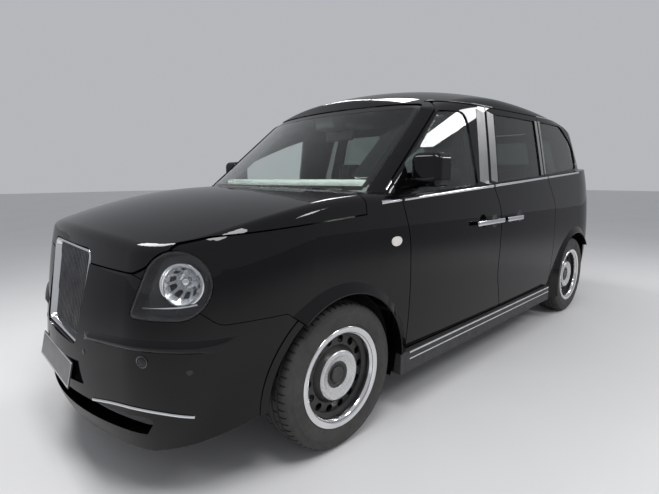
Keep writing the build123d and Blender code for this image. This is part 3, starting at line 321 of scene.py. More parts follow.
FINISHES: dict[Coat, Finish | Glass | Leather] = {
    Coat.PAINT: Finish((0.0015, 0.0015, 0.0018), (0.0030, 0.0030, 0.0034), (0.05, 0.10), coat=0.6,
                       patch=2.2, grain=0.02, specular=0.0),
    Coat.CHROME: Finish((0.80, 0.81, 0.82), (0.70, 0.71, 0.73), (0.05, 0.16), metal=1.0, patch=9.0),
    Coat.SATIN: Finish((0.19, 0.19, 0.19), (0.24, 0.24, 0.24), (0.34, 0.44), metal=0.6, patch=5.0,
                       grain=0.06),
    Coat.DARK_CHROME: Finish((0.10, 0.10, 0.105), (0.16, 0.16, 0.165), (0.14, 0.26), metal=0.9, patch=12.0),
    Coat.TRIM: Finish((0.008, 0.008, 0.009), (0.014, 0.014, 0.015), (0.18, 0.30), patch=4.0, grain=0.04),
    Coat.PLASTIC: Finish((0.018, 0.018, 0.019), (0.030, 0.030, 0.031), (0.45, 0.62), patch=6.0, grain=0.35),
    Coat.UNDER: Finish((0.012, 0.012, 0.012), (0.028, 0.027, 0.025), (0.6, 0.85), patch=5.0, grain=0.6,
                       grain_scale=260.0),
    Coat.CAST: Finish((0.10, 0.10, 0.105), (0.17, 0.16, 0.15), (0.45, 0.7), metal=0.7, patch=12.0,
                      grain=0.5, grain_scale=350.0),
    Coat.ALLOY: Finish((0.35, 0.36, 0.37), (0.45, 0.46, 0.47), (0.35, 0.5), metal=0.9, patch=9.0,
                       grain=0.3, grain_scale=420.0),
    Coat.RUBBER: Finish((0.026, 0.025, 0.024), (0.046, 0.044, 0.041), (0.62, 0.82), patch=9.0, grain=0.35,
                        grain_scale=500.0),
    Coat.DISC: Finish((0.018, 0.018, 0.019), (0.035, 0.034, 0.033), (0.28, 0.42), patch=14.0, grain=0.1),
    Coat.SILVER: Finish((0.64, 0.65, 0.66), (0.56, 0.56, 0.56), (0.22, 0.34), metal=0.6, patch=5.0,
                        grain=0.05),
    Coat.RING: Finish((0.80, 0.80, 0.81), (0.68, 0.68, 0.69), (0.08, 0.17), metal=1.0, patch=7.0),
    Coat.CLEAR: Glass((0.84, 0.89, 0.87), index=1.28),
    Coat.TINT: Glass((0.22, 0.24, 0.23), index=1.32),
    Coat.LENS: Glass((0.97, 0.98, 0.99), index=1.35),
    Coat.AMBER: Finish((0.74, 0.71, 0.67), (0.64, 0.61, 0.57), (0.08, 0.16), coat=1.0, patch=30.0),
    Coat.RED: Finish((0.13, 0.003, 0.003), (0.20, 0.005, 0.005), (0.08, 0.14), coat=1.0, patch=12.0),
    Coat.GLOW: Finish((0.46, 0.012, 0.010), (0.36, 0.008, 0.007), (0.10, 0.18), coat=1.0, patch=40.0),
    Coat.HOUSING: Finish((0.016, 0.016, 0.017), (0.030, 0.030, 0.032), (0.14, 0.24), metal=0.5, patch=5.0),
    Coat.REFLECTOR: Finish((0.90, 0.91, 0.92), (0.80, 0.81, 0.83), (0.16, 0.26), metal=0.9, patch=30.0),
    Coat.FRIT: Finish((0.006, 0.006, 0.006), (0.009, 0.009, 0.009), (0.12, 0.2), patch=10.0),
    Coat.DASH: Finish((0.30, 0.32, 0.30), (0.36, 0.38, 0.355), (0.5, 0.65), patch=4.0, grain=0.3,
                      grain_scale=700.0),
    Coat.LEATHER: Leather((0.018, 0.018, 0.019), (0.030, 0.030, 0.031)),
    Coat.PLATE: Finish((0.006, 0.006, 0.007), (0.010, 0.010, 0.011), (0.16, 0.26), patch=5.0),
    Coat.MIRROR: Finish((0.86, 0.87, 0.88), (0.82, 0.83, 0.85), (0.01, 0.03), metal=1.0, patch=9.0),
}


class Workshop:
    """Materials made once, surfaces that trim is laid on, and the making of new pieces."""

    def __init__(self, nodes: dict[str, bpy.types.Object]) -> None:
        """Keep the nodes and start with no materials.

        Args:
            nodes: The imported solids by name.
        """
        self.nodes = nodes
        self.made: dict[Coat, bpy.types.Material] = {}
        self.trees: dict[str, BVHTree] = {}

    def coat(self, coat: Coat) -> bpy.types.Material:
        """The material of a finish.

        Args:
            coat: The finish.

        Returns:
            Its material, made at the first call.
        """
        if coat not in self.made:
            self.made[coat] = FINISHES[coat].build(coat.value)
        return self.made[coat]

    def dress(self, node: str, coat: Coat) -> None:
        """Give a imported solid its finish.

        Args:
            node: The solid.
            coat: Its finish.
        """
        materials = self.nodes[node].data.materials
        materials.clear()
        materials.append(self.coat(coat))

    def piece(self, name: str, mesh: Mesh, body: str, coat: Coat, smooth: float = 40.0) -> bpy.types.Object:
        """Turn a finished bmesh into a piece.

        Args:
            name: Name of the piece.
            mesh: Its shape in metres, in the place where it belongs.
            body: Body it rides on.
            coat: Its finish.
            smooth: Largest angle in degrees that is shaded smooth.

        Returns:
            The new object.
        """
        data = bpy.data.meshes.new(name)
        mesh.to_mesh(data)
        mesh.free()
        data.shade_smooth()
        data.set_sharp_from_angle(angle=math.radians(smooth))
        data.materials.append(self.coat(coat))
        obj = bpy.data.objects.new(name, data)
        bpy.context.scene.collection.objects.link(obj)
        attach(obj, body)
        LOG.info("piece %s on %s", name, body)
        return obj

    def tree(self, node: str) -> BVHTree:
        """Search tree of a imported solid's surface.

        Args:
            node: The solid.

        Returns:
            Its tree, made at the first call.
        """
        if node not in self.trees:
            mesh = bmesh.new()
            mesh.from_mesh(self.nodes[node].data)
            self.trees[node] = BVHTree.FromBMesh(mesh)
            mesh.free()
        return self.trees[node]

    def touch(self, nodes: Iterable[str], start: Vector, way: Vector) -> Ray | None:
        """Find where a ray first meets one of the solids.

        Args:
            nodes: The solids.
            start: Where the ray starts.
            way: Its direction.

        Returns:
            The place and the surface's direction there, or nothing.
        """
        best = None
        for node in nodes:
            place, normal, _, distance = self.tree(node).ray_cast(start, way)
            if place is not None and (best is None or distance < best[2]):
                best = (place, normal, distance)
        return None if best is None else (best[0], best[1])


class Assembly(Protocol):
    """Anything that dresses solids or makes pieces in the workshop."""

    def build(self, shop: Workshop) -> None:
        """Do all of its work."""


def on_side(y: float, z: float, side: int) -> Ray:
    """Ray that comes in from one side of the cab at a length and height."""
    return Vector((side * OUTSIDE_X, y, z)), Vector((-side, 0, 0))


def side_ray(side: int) -> RayMaker:
    """Ray function of one side: length and height to a ray."""
    return lambda y, z: on_side(y, z, side)


def on_front(x: float, z: float) -> Ray:
    """Ray that comes in from ahead at a width and height."""
    return Vector((x, -OUTSIDE_Y, z)), Vector((0, 1, 0))


def on_rear(x: float, z: float) -> Ray:
    """Ray that comes in from behind at a width and height."""
    return Vector((x, OUTSIDE_Y, z)), Vector((0, -1, 0))


def level(half: float, height: float) -> list[Pair]:
    """Level line across the cab at a height."""
    return [(-half, height), (0.0, height), (half, height)]


def rectangle(half: float, tall: float, radius: float) -> list[Triple]:
    """Corners of a rectangle round a place's origin, with one corner radius."""
    return [(across * half, up * tall, radius) for across, up in QUARTERS]


def facing(origin: Sequence[float], across: Sequence[float], out: Sequence[float]) -> Matrix:
    """Place on a surface.

    Args:
        origin: Its origin.
        across: Direction of its X.
        out: Direction of its Z, out of the surface.

    Returns:
        Matrix of the place.
    """
    axis_x, axis_z = Vector(across).normalized(), Vector(out).normalized()
    turn = Matrix((axis_x, axis_z.cross(axis_x), axis_z)).transposed().to_4x4()
    return Matrix.Translation(origin) @ turn


def ahead_facing(origin: Sequence[float], lean: float) -> Matrix:
    """Place that looks ahead and leans back from upright by some degrees."""
    turn = math.radians(lean)
    return facing(origin, (1, 0, 0), (0, -math.cos(turn), math.sin(turn)))


def back_facing(origin: Sequence[float]) -> Matrix:
    """Upright place that looks back along the cab."""
    return facing(origin, (-1, 0, 0), (0, 1, 0))


def fitting(shop: Workshop, node: str, ray: Ray, sink: float = 0.0) -> Matrix:
    """Place on a solid's surface whose Z points out of it.

    Args:
        shop: Workshop that finds the surface.
        node: The solid.
        ray: Start and direction of the ray that finds the place.
        sink: How far the place lies under the surface.

    Returns:
        Matrix of the place, with X level.
    """
    place, normal = shop.touch((node,), *ray)
    return facing(place - normal * sink, Vector((0, 0, 1)).cross(normal), normal)


def lathe(profile: Profile, place: Matrix, steps: int, closed: bool = False) -> Mesh:
    """Spin a profile about the Z of a place.

    Args:
        profile: Distances out along the axis, with radii.
        place: Matrix of the axis.
        steps: Faces round the circle.
        closed: Whether the last point joins the first.

    Returns:
        The shape, normals outward.
    """
    mesh = bmesh.new()
    verts = [mesh.verts.new((radius, 0, out)) for out, radius in profile]
    edges = [mesh.edges.new(pair) for pair in zip(verts, verts[1:])]
    if closed:
        edges.append(mesh.edges.new((verts[-1], verts[0])))
    bmesh.ops.spin(mesh, geom=verts + edges, cent=(0, 0, 0), axis=(0, 0, 1), angle=math.tau, steps=steps,
                   use_merge=True)
    bmesh.ops.remove_doubles(mesh, verts=mesh.verts, dist=0.00002)
    bmesh.ops.transform(mesh, matrix=place, verts=mesh.verts)
    bmesh.ops.recalc_face_normals(mesh, faces=mesh.faces)
    return mesh


def panel(corners: Sequence[Triple], place: Matrix) -> tuple[Mesh, bmesh.types.BMFace]:
    """Flat face with rounded corners on a place.

    Args:
        corners: Across, up and corner radius, anticlockwise seen from outside.
        place: Matrix of the plane.

    Returns:
        The mesh and its one face.
    """
    mesh = bmesh.new()
    verts = [mesh.verts.new((across, up, 0)) for across, up, _ in corners]
    bmesh.ops.contextual_create(mesh, geom=verts)
    for vert, (_, _, radius) in zip(verts, corners):
        if radius:
            bmesh.ops.bevel(mesh, geom=[vert], offset=radius, offset_type="OFFSET", segments=7, profile=0.5,
                            affect="VERTICES", material=-1)
    bmesh.ops.transform(mesh, matrix=place, verts=mesh.verts)
    mesh.faces.ensure_lookup_table()
    mesh.normal_update()
    if mesh.faces[0].normal.dot(place.col[2].xyz) < 0:
        bmesh.ops.reverse_faces(mesh, faces=mesh.faces)
    mesh.normal_update()
    return mesh, mesh.faces[0]


def inset(mesh: Mesh, face: bmesh.types.BMFace, rows: Profile) -> None:
    """Step a face inward again and again.

    Args:
        mesh: The shape.
        face: The face, which ends in the middle.
        rows: Width and rise of each step.
    """
    for width, rise in rows:
        bmesh.ops.inset_region(mesh, faces=[face], thickness=width, depth=rise, use_even_offset=True,
                               use_boundary=True)


def pane(corners: Sequence[Triple], place: Matrix, rows: Profile) -> Mesh:
    """Flat piece with a stepped edge.

    Args:
        corners: Across, up and corner radius.
        place: Matrix of the plane.
        rows: Width and rise of each step from the edge inward.

    Returns:
        The shape.
    """
    mesh, face = panel(corners, place)
    inset(mesh, face, rows)
    return mesh


def frame_ring(corners: Sequence[Triple], place: Matrix, rows: Profile, wall: float = 0.0012) -> Mesh:
    """Raised ring round an opening, closed at its back by its own thickness.

    Args:
        corners: Across, up and corner radius.
        place: Matrix of the plane.
        rows: Width and rise of each step from the edge inward.
        wall: Thickness.

    Returns:
        The shape.
    """
    mesh, face = panel(corners, place)
    inset(mesh, face, rows)
    bmesh.ops.delete(mesh, geom=[face], context="FACES_ONLY")
    mesh.normal_update()
    bmesh.ops.solidify(mesh, geom=list(mesh.faces), thickness=wall)
    bmesh.ops.recalc_face_normals(mesh, faces=mesh.faces)
    return mesh


def box_mesh(low: Sequence[float], high: Sequence[float], edge: float, segments: int = 3) -> Mesh:
    """Box with rounded edges.

    Args:
        low: Its lowest corner.
        high: Its highest corner.
        edge: Radius of its edges.
        segments: Faces across each edge.

    Returns:
        The shape.
    """
    mesh = bmesh.new()
    bmesh.ops.create_cube(mesh, size=1.0)
    span = [b - a for a, b in zip(low, high)]
    bmesh.ops.scale(mesh, vec=span, verts=mesh.verts)
    bmesh.ops.translate(mesh, vec=[(a + b) / 2 for a, b in zip(low, high)], verts=mesh.verts)
    bmesh.ops.bevel(mesh, geom=mesh.edges[:], offset=edge, offset_type="OFFSET", segments=segments,
                    profile=0.5, affect="EDGES", material=-1)
    return mesh


@dataclass
class Ribbon:
    """Thin strip laid on the body along a smooth line of number pairs that a ray function places."""

    line: Line
    width: float | Sequence[float]
    nodes: Sequence[str]
    ray: RayMaker
    proud: float = 0.004
    crown: float = 0.0
    long: int = 60
    across: int = 4
    fade: float = 0.0
    root: float = 0.0015
    glance: float = 0.002

    def point(self, share: float) -> Vector:
        """Point of the smooth line.

        Args:
            share: How far along the line, from 0 to 1.

        Returns:
            The point.
        """
        reach = share * (len(self.line) - 1)
        start = min(int(reach), len(self.line) - 2)
        part = reach - start
        last = len(self.line) - 1
        knots = [Vector(self.line[max(0, min(last, start + step))]) for step in (-1, 0, 1, 2)]
        before, first, second, after = knots
        bend = 2 * first + (second - before) * part
        bend += (2 * before - 5 * first + 4 * second - after) * part ** 2
        bend += (3 * first - before - 3 * second + after) * part ** 3
        return bend / 2

    def mesh(self, shop: Workshop) -> Mesh:
        """Drop a grid on the solids, lift it and give it its thickness.

        Args:
            shop: Workshop that finds the surface.

        Returns:
            The strip's shape.
        """
        mesh = bmesh.new()
        bmesh.ops.create_grid(mesh, x_segments=self.long, y_segments=self.across, size=0.5)
        widths = (self.width, self.width) if isinstance(self.width, float) else tuple(self.width)
        outward, lost = Vector(), []
        for vert in mesh.verts:
            share, rise = vert.co.x + 0.5, vert.co.y
            ahead = self.point(min(share + self.glance, 1)) - self.point(max(share - self.glance, 0))
            cross = Vector((-ahead.y, ahead.x)).normalized()
            width = widths[0] + (widths[1] - widths[0]) * share
            hit = shop.touch(self.nodes, *self.ray(*(self.point(share) + cross * rise * width)))
            if hit is None:
                lost.append(vert)
                continue
            end = min(1.0, share / self.fade, (1 - share) / self.fade) if self.fade else 1.0
            vert.co = hit[0] + hit[1] * (self.proud + self.crown * end * (1 - 4 * rise * rise))
            outward += hit[1]
        bmesh.ops.delete(mesh, geom=lost, context="VERTS")
        mesh.normal_update()
        if sum((face.normal.dot(outward) for face in mesh.faces)) < 0:
            bmesh.ops.reverse_faces(mesh, faces=mesh.faces)
        mesh.normal_update()
        bmesh.ops.solidify(mesh, geom=list(mesh.faces), thickness=self.proud + self.root)
        bmesh.ops.recalc_face_normals(mesh, faces=mesh.faces)
        return mesh

    def lay(self, shop: Workshop, name: str, body: str, coat: Coat) -> None:
        """Make the strip a piece."""
        shop.piece(name, self.mesh(shop), body, coat)


@dataclass
class Studio:
    """Camera, pale floor, plain world and soft lamps."""

    position: Triple = (2.1906, -2.7784, 1.2482)
    azimuth: float = 46.4975
    pitch: float = 9.302
    roll: float = -0.2174
    lens: float = 23.44
    sensor: float = 36.0
    nearest: float = 0.02
    floor: Triple = (0.62, 0.62, 0.62)
    floor_half: float = 40.0
    floor_shade: float = 1.04
    world: float = 0.5
    sky: Triple = (0.93, 0.95, 1.0)
    panels: tuple[tuple[float, float, float, float, float], ...] = (
        # x, y, length, breadth, power
        (1.6, -2.2, 1.6, 0.8, 60.0),
        (-1.4, -2.6, 1.6, 0.8, 60.0),
        (3.4, 0.2, 1.2, 0.6, 45.0),
        (-1.6, 1.2, 1.6, 0.8, 60.0),
        (3.0, 3.6, 1.6, 0.8, 60.0),
    )
    height: float = 3.2

    def camera(self) -> None:
        """Camera at the photograph's place and angle."""
        azimuth, pitch, roll = (math.radians(value) for value in (self.azimuth, self.pitch, self.roll))
        run = math.cos(pitch)
        ahead = Vector((-math.sin(azimuth) * run, math.cos(azimuth) * run, -math.sin(pitch)))
        right = Vector((math.cos(azimuth), math.sin(azimuth), 0))
        up = right.cross(ahead)
        across = math.cos(roll) * right + math.sin(roll) * up
        above = math.cos(roll) * up - math.sin(roll) * right
        data = bpy.data.cameras.new("camera")
        data.lens, data.sensor_width, data.clip_start = self.lens, self.sensor, self.nearest
        obj = bpy.data.objects.new("camera", data)
        turn = Matrix((across, above, -ahead)).transposed().to_4x4()
        obj.matrix_world = Matrix.Translation(self.position) @ turn
        bpy.context.scene.collection.objects.link(obj)
        bpy.context.scene.camera = obj

    def ground(self) -> None:
        """Pale floor with a faint unevenness."""
        mesh = bmesh.new()
        bmesh.ops.create_grid(mesh, x_segments=4, y_segments=4, size=self.floor_half)
        data = bpy.data.meshes.new("floor")
        mesh.to_mesh(data)
        mesh.free()
        shade = tuple(value * self.floor_shade for value in self.floor)
        data.materials.append(Finish(self.floor, shade, (0.55, 0.65), patch=0.7).build("studio_floor"))
        obj = bpy.data.objects.new("floor", data)
        bpy.context.scene.collection.objects.link(obj)

    def lights(self) -> None:
        """Even world light and soft ceiling panels."""
        world = bpy.data.worlds.new("studio")
        world.use_nodes = True
        back = world.node_tree.nodes["Background"]
        back.inputs["Strength"].default_value = self.world
        back.inputs["Color"].default_value = (*self.sky, 1)
        bpy.context.scene.world = world
        for index, (x, y, length, breadth, power) in enumerate(self.panels):
            data = bpy.data.lights.new(f"panel_{index}", "AREA")
            data.shape, data.size, data.size_y, data.energy = "RECTANGLE", length, breadth, power
            lamp = bpy.data.objects.new(f"panel_{index}", data)
            lamp.location = (x, y, self.height)
            bpy.context.scene.collection.objects.link(lamp)

    def build(self, shop: Workshop) -> None:
        """Make everything round the object.

        Args:
            shop: Workshop, which nothing here needs.
        """
        bpy.context.scene.view_settings.view_transform = "Standard"
        self.camera()
        self.ground()
        self.lights()


@dataclass
class Shell:
    """Painted panels, glass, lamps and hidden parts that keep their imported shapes."""

    coats: tuple[tuple[Coat, tuple[str, ...]], ...] = (
        (Coat.PAINT, ("roof_panel", "tailgate", "bonnet", "front_wings", "front_bumper", "rear_bumper",
                      "body_side_{side}", "door_front_{side}", "door_rear_{side}", "mirror_{side}")),
        (Coat.CLEAR, ("glass_front_{side}", "windscreen", "partition_glass")),
        (Coat.TINT, ("glass_rear_{side}", "quarter_windows", "glass_tailgate")),
        (Coat.HOUSING, ("headlamps",)),
        (Coat.LENS, ("headlamp_lenses",)),
        (Coat.AMBER, ("side_repeaters",)),
        (Coat.RED, ("tail_lamps",)),
        (Coat.TRIM, ("scuttle",)),
        (Coat.DARK_CHROME, ("grille",)),
        (Coat.PLATE, ("number_plates",)),
        (Coat.PLASTIC, ("sill_steps", "driver_seat_box", "rear_bench_box", "partition")),
        (Coat.DASH, ("dashboard",)),
        (Coat.LEATHER, ("steering_wheel", "driver_seat", "rear_bench", "folding_seats")),
        (Coat.UNDER, ("floor_pan", "front_subframe")),
        (Coat.ALLOY, ("battery_pack",)),
        (Coat.CAST, ("engine_block", "knuckle_{side}", "rear_axle")),
        (Coat.DISC, ("rim_front_{side}", "rim_rear_{side}")),
        (Coat.RUBBER, ("tyre_front_{side}", "tyre_rear_{side}")),
    )

    def build(self, shop: Workshop) -> None:
        """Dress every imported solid.

        Args:
            shop: Workshop that holds the solids.
        """
        coats = {}
        for coat, names in self.coats:
            for name in names:
                coats.update({name.format(side=side): coat for side in SIDES})
        for node in shop.nodes:
            shop.dress(node, coats[node])


@dataclass
class BrightWork:
    """Chrome line under the windows and round them, and the satin bands between the windows."""

    belt_front: Pair = (-1.353, 1.132)
    belt_rise: float = 0.0526
    belt_drop: float = 0.012
    belt_width: float = 0.014
    runs: tuple[tuple[str, str, float, float], ...] = (
        # piece, body, from, to
        ("wing", "body", -1.215, -1.063),
        ("front_door", "door_front_{side}", -1.053, -0.102),
        ("rear_door", "door_rear_{side}", -0.088, 0.823),
        ("quarter", "body", 0.836, 1.610),
    )
    solids: tuple[str, ...] = ("front_wings", "body_side_{side}", "door_front_{side}", "door_rear_{side}")
    arch_width: float = 0.005
    pillar: tuple[Pair, ...] = ((-1.115, 1.184), (-0.984, 1.292), (-0.766, 1.465), (-0.539, 1.660))
    roof: tuple[Pair, ...] = (
        # length, height, just above the doors' top edges and then down behind the quarter window
        (-0.500, 1.692), (-0.200, 1.697), (0.200, 1.700), (0.600, 1.706), (1.000, 1.713), (1.200, 1.716),
        (1.330, 1.712), (1.523, 1.660), (1.640, 1.540), (1.672, 1.400), (1.655, 1.312), (1.606, 1.277),
    )
    posts: tuple[tuple[str, str, Pair, Pair, Pair], ...] = (
        # piece, body, foot, head, widths at both
        ("front_door", "door_front_{side}", (-0.172, 1.206), (-0.090, 1.664), (0.112, 0.100)),
        ("rear_door", "door_rear_{side}", (-0.034, 1.213), (0.036, 1.664), (0.084, 0.086)),
        ("rear_door_back", "door_rear_{side}", (0.790, 1.257), (0.795, 1.672), (0.044, 0.040)),
        ("quarter", "body", (0.853, 1.262), (0.860, 1.676), (0.030, 0.034)),
    )

    def belt_z(self, y: float) -> float:
        """Height of the belt line at a length."""
        return self.belt_front[1] + (y - self.belt_front[0]) * self.belt_rise

    def build(self, shop: Workshop) -> None:
        """Lay the strips on both sides.

        Args:
            shop: Workshop that makes the pieces.
        """
        for side, sign in SIDES.items():
            solids = [name.format(side=side) for name in self.solids]
            for piece, body, start, stop in self.runs:
                stations = [start + (stop - start) * step / 6 for step in range(7)]
                line = [(y, self.belt_z(y) - self.belt_drop) for y in stations]
                ribbon = Ribbon(line, self.belt_width, solids, side_ray(sign), proud=0.005, crown=0.003)
                ribbon.lay(shop, f"belt_strip_{piece}_{side}", body.format(side=side), Coat.CHROME)
            self.bands(shop, side, sign, solids)
            self.arch(shop, side, sign)

    def arch(self, shop: Workshop, side: str, sign: int) -> None:
        """Lay the thin line up the windscreen pillar, over the doors and round the quarter window.

        Args:
            shop: Workshop that makes the pieces.
            side: Name of the side.
            sign: Its sign along X.
        """
        solids = (f"body_side_{side}", "roof_panel")
        for name, line in (("pillar", self.pillar), ("roof", self.roof)):
            ribbon = Ribbon(line, self.arch_width, solids, side_ray(sign), proud=0.003, crown=0.001,
                            long=90, across=2)
            ribbon.lay(shop, f"arch_strip_{name}_{side}", "body", Coat.CHROME)

    def bands(self, shop: Workshop, side: str, sign: int, solids: list[str]) -> None:
        """Lay the satin bands on the posts between the windows, one piece to each panel.

        Args:
            shop: Workshop that makes the pieces.
            side: Name of the side.
            sign: Its sign along X.
            solids: The solids they lie on.
        """
        for piece, body, low, high, width in self.posts:
            middle = tuple((a + b) / 2 for a, b in zip(low, high))
            ribbon = Ribbon([low, middle, high], width, solids, side_ray(sign), proud=0.0015, long=24)
            ribbon.lay(shop, f"post_band_{piece}_{side}", body.format(side=side), Coat.SATIN)


@dataclass
class Wheel:
    """Tyre with tread, chrome trim ring, silver dish and hub cap on one rim."""

    axle: str
    side: str
    steps: int = 180
    tyre_steps: int = 240
    cap_steps: int = 72
    tyre_half: tuple[Pair, ...] = (
        # offset from the middle, radius, from the middle of the tread to the bead
        (0.0, 0.3447), (0.0155, 0.3446), (0.0165, 0.3376), (0.0255, 0.3374), (0.0265, 0.3442),
        (0.0500, 0.3432), (0.0510, 0.3366), (0.0600, 0.3358), (0.0610, 0.3420), (0.0760, 0.3398),
        (0.0860, 0.3366), (0.0930, 0.3310), (0.0975, 0.3240), (0.0990, 0.3228), (0.1000, 0.3180),
        (0.1030, 0.3080), (0.1060, 0.2960), (0.1068, 0.2952), (0.1074, 0.2860), (0.1070, 0.2740),
        (0.1052, 0.2610), (0.1030, 0.2520), (0.1036, 0.2508), (0.1020, 0.2450), (0.0985, 0.2385),
        (0.0940, 0.2355), (0.0900, 0.2350), (0.0884, 0.2300), (0.0884, 0.2146),
    )
    cuts: tuple[tuple[float, float, int, float], ...] = (
        # from and to offset, faces from cut to cut, depth
        (0.062, 0.092, 4, 0.0045),
        (0.027, 0.050, 6, 0.0035),
    )
    land: float = 0.3395
    shoulder: float = 0.08
    shoulder_drop: float = 0.006
    ring: tuple[Pair, ...] = (
        (0.0960, 0.2375), (0.1005, 0.2370), (0.1030, 0.2345), (0.1040, 0.2300), (0.1035, 0.2240),
        (0.1015, 0.2170), (0.0985, 0.2100), (0.0945, 0.2040), (0.0890, 0.1990), (0.0820, 0.1965),
        (0.0740, 0.1965), (0.0740, 0.1985), (0.0830, 0.2000), (0.0900, 0.2100), (0.0940, 0.2350),
    )
    dish: tuple[Pair, ...] = (
        (0.0490, 0.1270), (0.0530, 0.1260), (0.0600, 0.1225), (0.0700, 0.1180), (0.0760, 0.1125),
        (0.0785, 0.1060), (0.0780, 0.0990), (0.0740, 0.0910), (0.0690, 0.0840), (0.0665, 0.0770),
        (0.0640, 0.0640), (0.0600, 0.0610), (0.0580, 0.0610), (0.0580, 0.0780), (0.0680, 0.0950),
        (0.0700, 0.1080), (0.0600, 0.1190), (0.0480, 0.1240),
    )
    cap: tuple[Pair, ...] = (
        (0.0560, 0.0660), (0.0600, 0.0655), (0.0635, 0.0620), (0.0640, 0.0560), (0.0610, 0.0480),
        (0.0560, 0.0440), (0.0560, 0.0380), (0.0640, 0.0370), (0.0665, 0.0340), (0.0670, 0.0290),
        (0.0655, 0.0240), (0.0650, 0.0),
    )

    @property
    def sign(self) -> int:
        """Which way is outward."""
        return SIDES[self.side]

    @property
    def centre(self) -> Vector:
        """Middle of the wheel."""
        return Vector((self.sign * WHEEL_X, AXLES[self.axle], WHEEL_RADIUS))

    @property
    def body(self) -> str:
        """Body that turns."""
        return f"wheel_{self.axle}_{self.side}"

    def spun(self, rows: Profile, steps: int, closed: bool = False) -> Mesh:
        """Spin a profile whose offsets point outward from the cab."""
        return lathe(rows, facing(self.centre, (0, 1, 0), (self.sign, 0, 0)), steps, closed)

    def tyre(self, shop: Workshop) -> None:
        """Make the tyre with rounded walls, four grooves and cut shoulders.

        Args:
            shop: Workshop that makes the piece.
        """
        profile = [(-offset, radius) for offset, radius in reversed(self.tyre_half[1:])]
        profile.extend(self.tyre_half)
        mesh = self.spun(profile, self.tyre_steps, closed=True)
        for low, high, every, depth in self.cuts:
            self.cut(mesh, low, high, every, depth)
        piece = shop.piece(f"tyre_{self.axle}_{self.side}_tread", mesh, self.body, Coat.RUBBER, 35.0)
        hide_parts(f"tyre_{self.axle}_{self.side}")

    def cut(self, mesh: Mesh, low: float, high: float, every: int, depth: float) -> None:
        """Sink every few tread faces between two offsets towards the axle.

        Args:
            mesh: The tyre.
            low: Offset from the tyre's middle where a cut starts.
            high: Offset where it ends.
            every: Faces round the tyre from one cut to the next.
            depth: How deep it is.
        """
        chosen = []
        for face in mesh.faces:
            middle = face.calc_center_median() - self.centre
            radius = math.hypot(middle.y, middle.z)
            turn = int((math.atan2(middle.z, middle.y) + math.pi) / math.tau * self.tyre_steps)
            land = self.land - self.shoulder_drop * (abs(middle.x) > self.shoulder)
            if low < abs(middle.x) < high and radius > land and turn % every == 0:
                chosen.append(face)
        sunk = bmesh.ops.extrude_face_region(mesh, geom=chosen)
        moved = [item for item in sunk["geom"] if isinstance(item, bmesh.types.BMVert)]
        for vert in moved:
            radial = Vector((0, vert.co.y - self.centre.y, vert.co.z - self.centre.z)).normalized()
            vert.co -= radial * depth
        bmesh.ops.delete(mesh, geom=chosen, context="FACES")

    def dress(self, shop: Workshop) -> None:
        """Make the trim ring, the silver dish and the hub cap.

        Args:
            shop: Workshop that makes the pieces.
        """
        for name, mesh, coat, smooth in (
            ("trim_ring", self.spun(self.ring, self.steps, closed=True), Coat.RING, 50.0),
            ("wheel_dish", self.spun(self.dish, self.steps, closed=True), Coat.SILVER, 50.0),
            ("hub_cap", self.spun(self.cap, self.cap_steps), Coat.DISC, 45.0),
        ):
            shop.piece(f"{name}_{self.axle}_{self.side}", mesh, self.body, coat, smooth)

    def build(self, shop: Workshop) -> None:
        """Make the wheel's pieces."""
        self.tyre(shop)
        self.dress(shop)


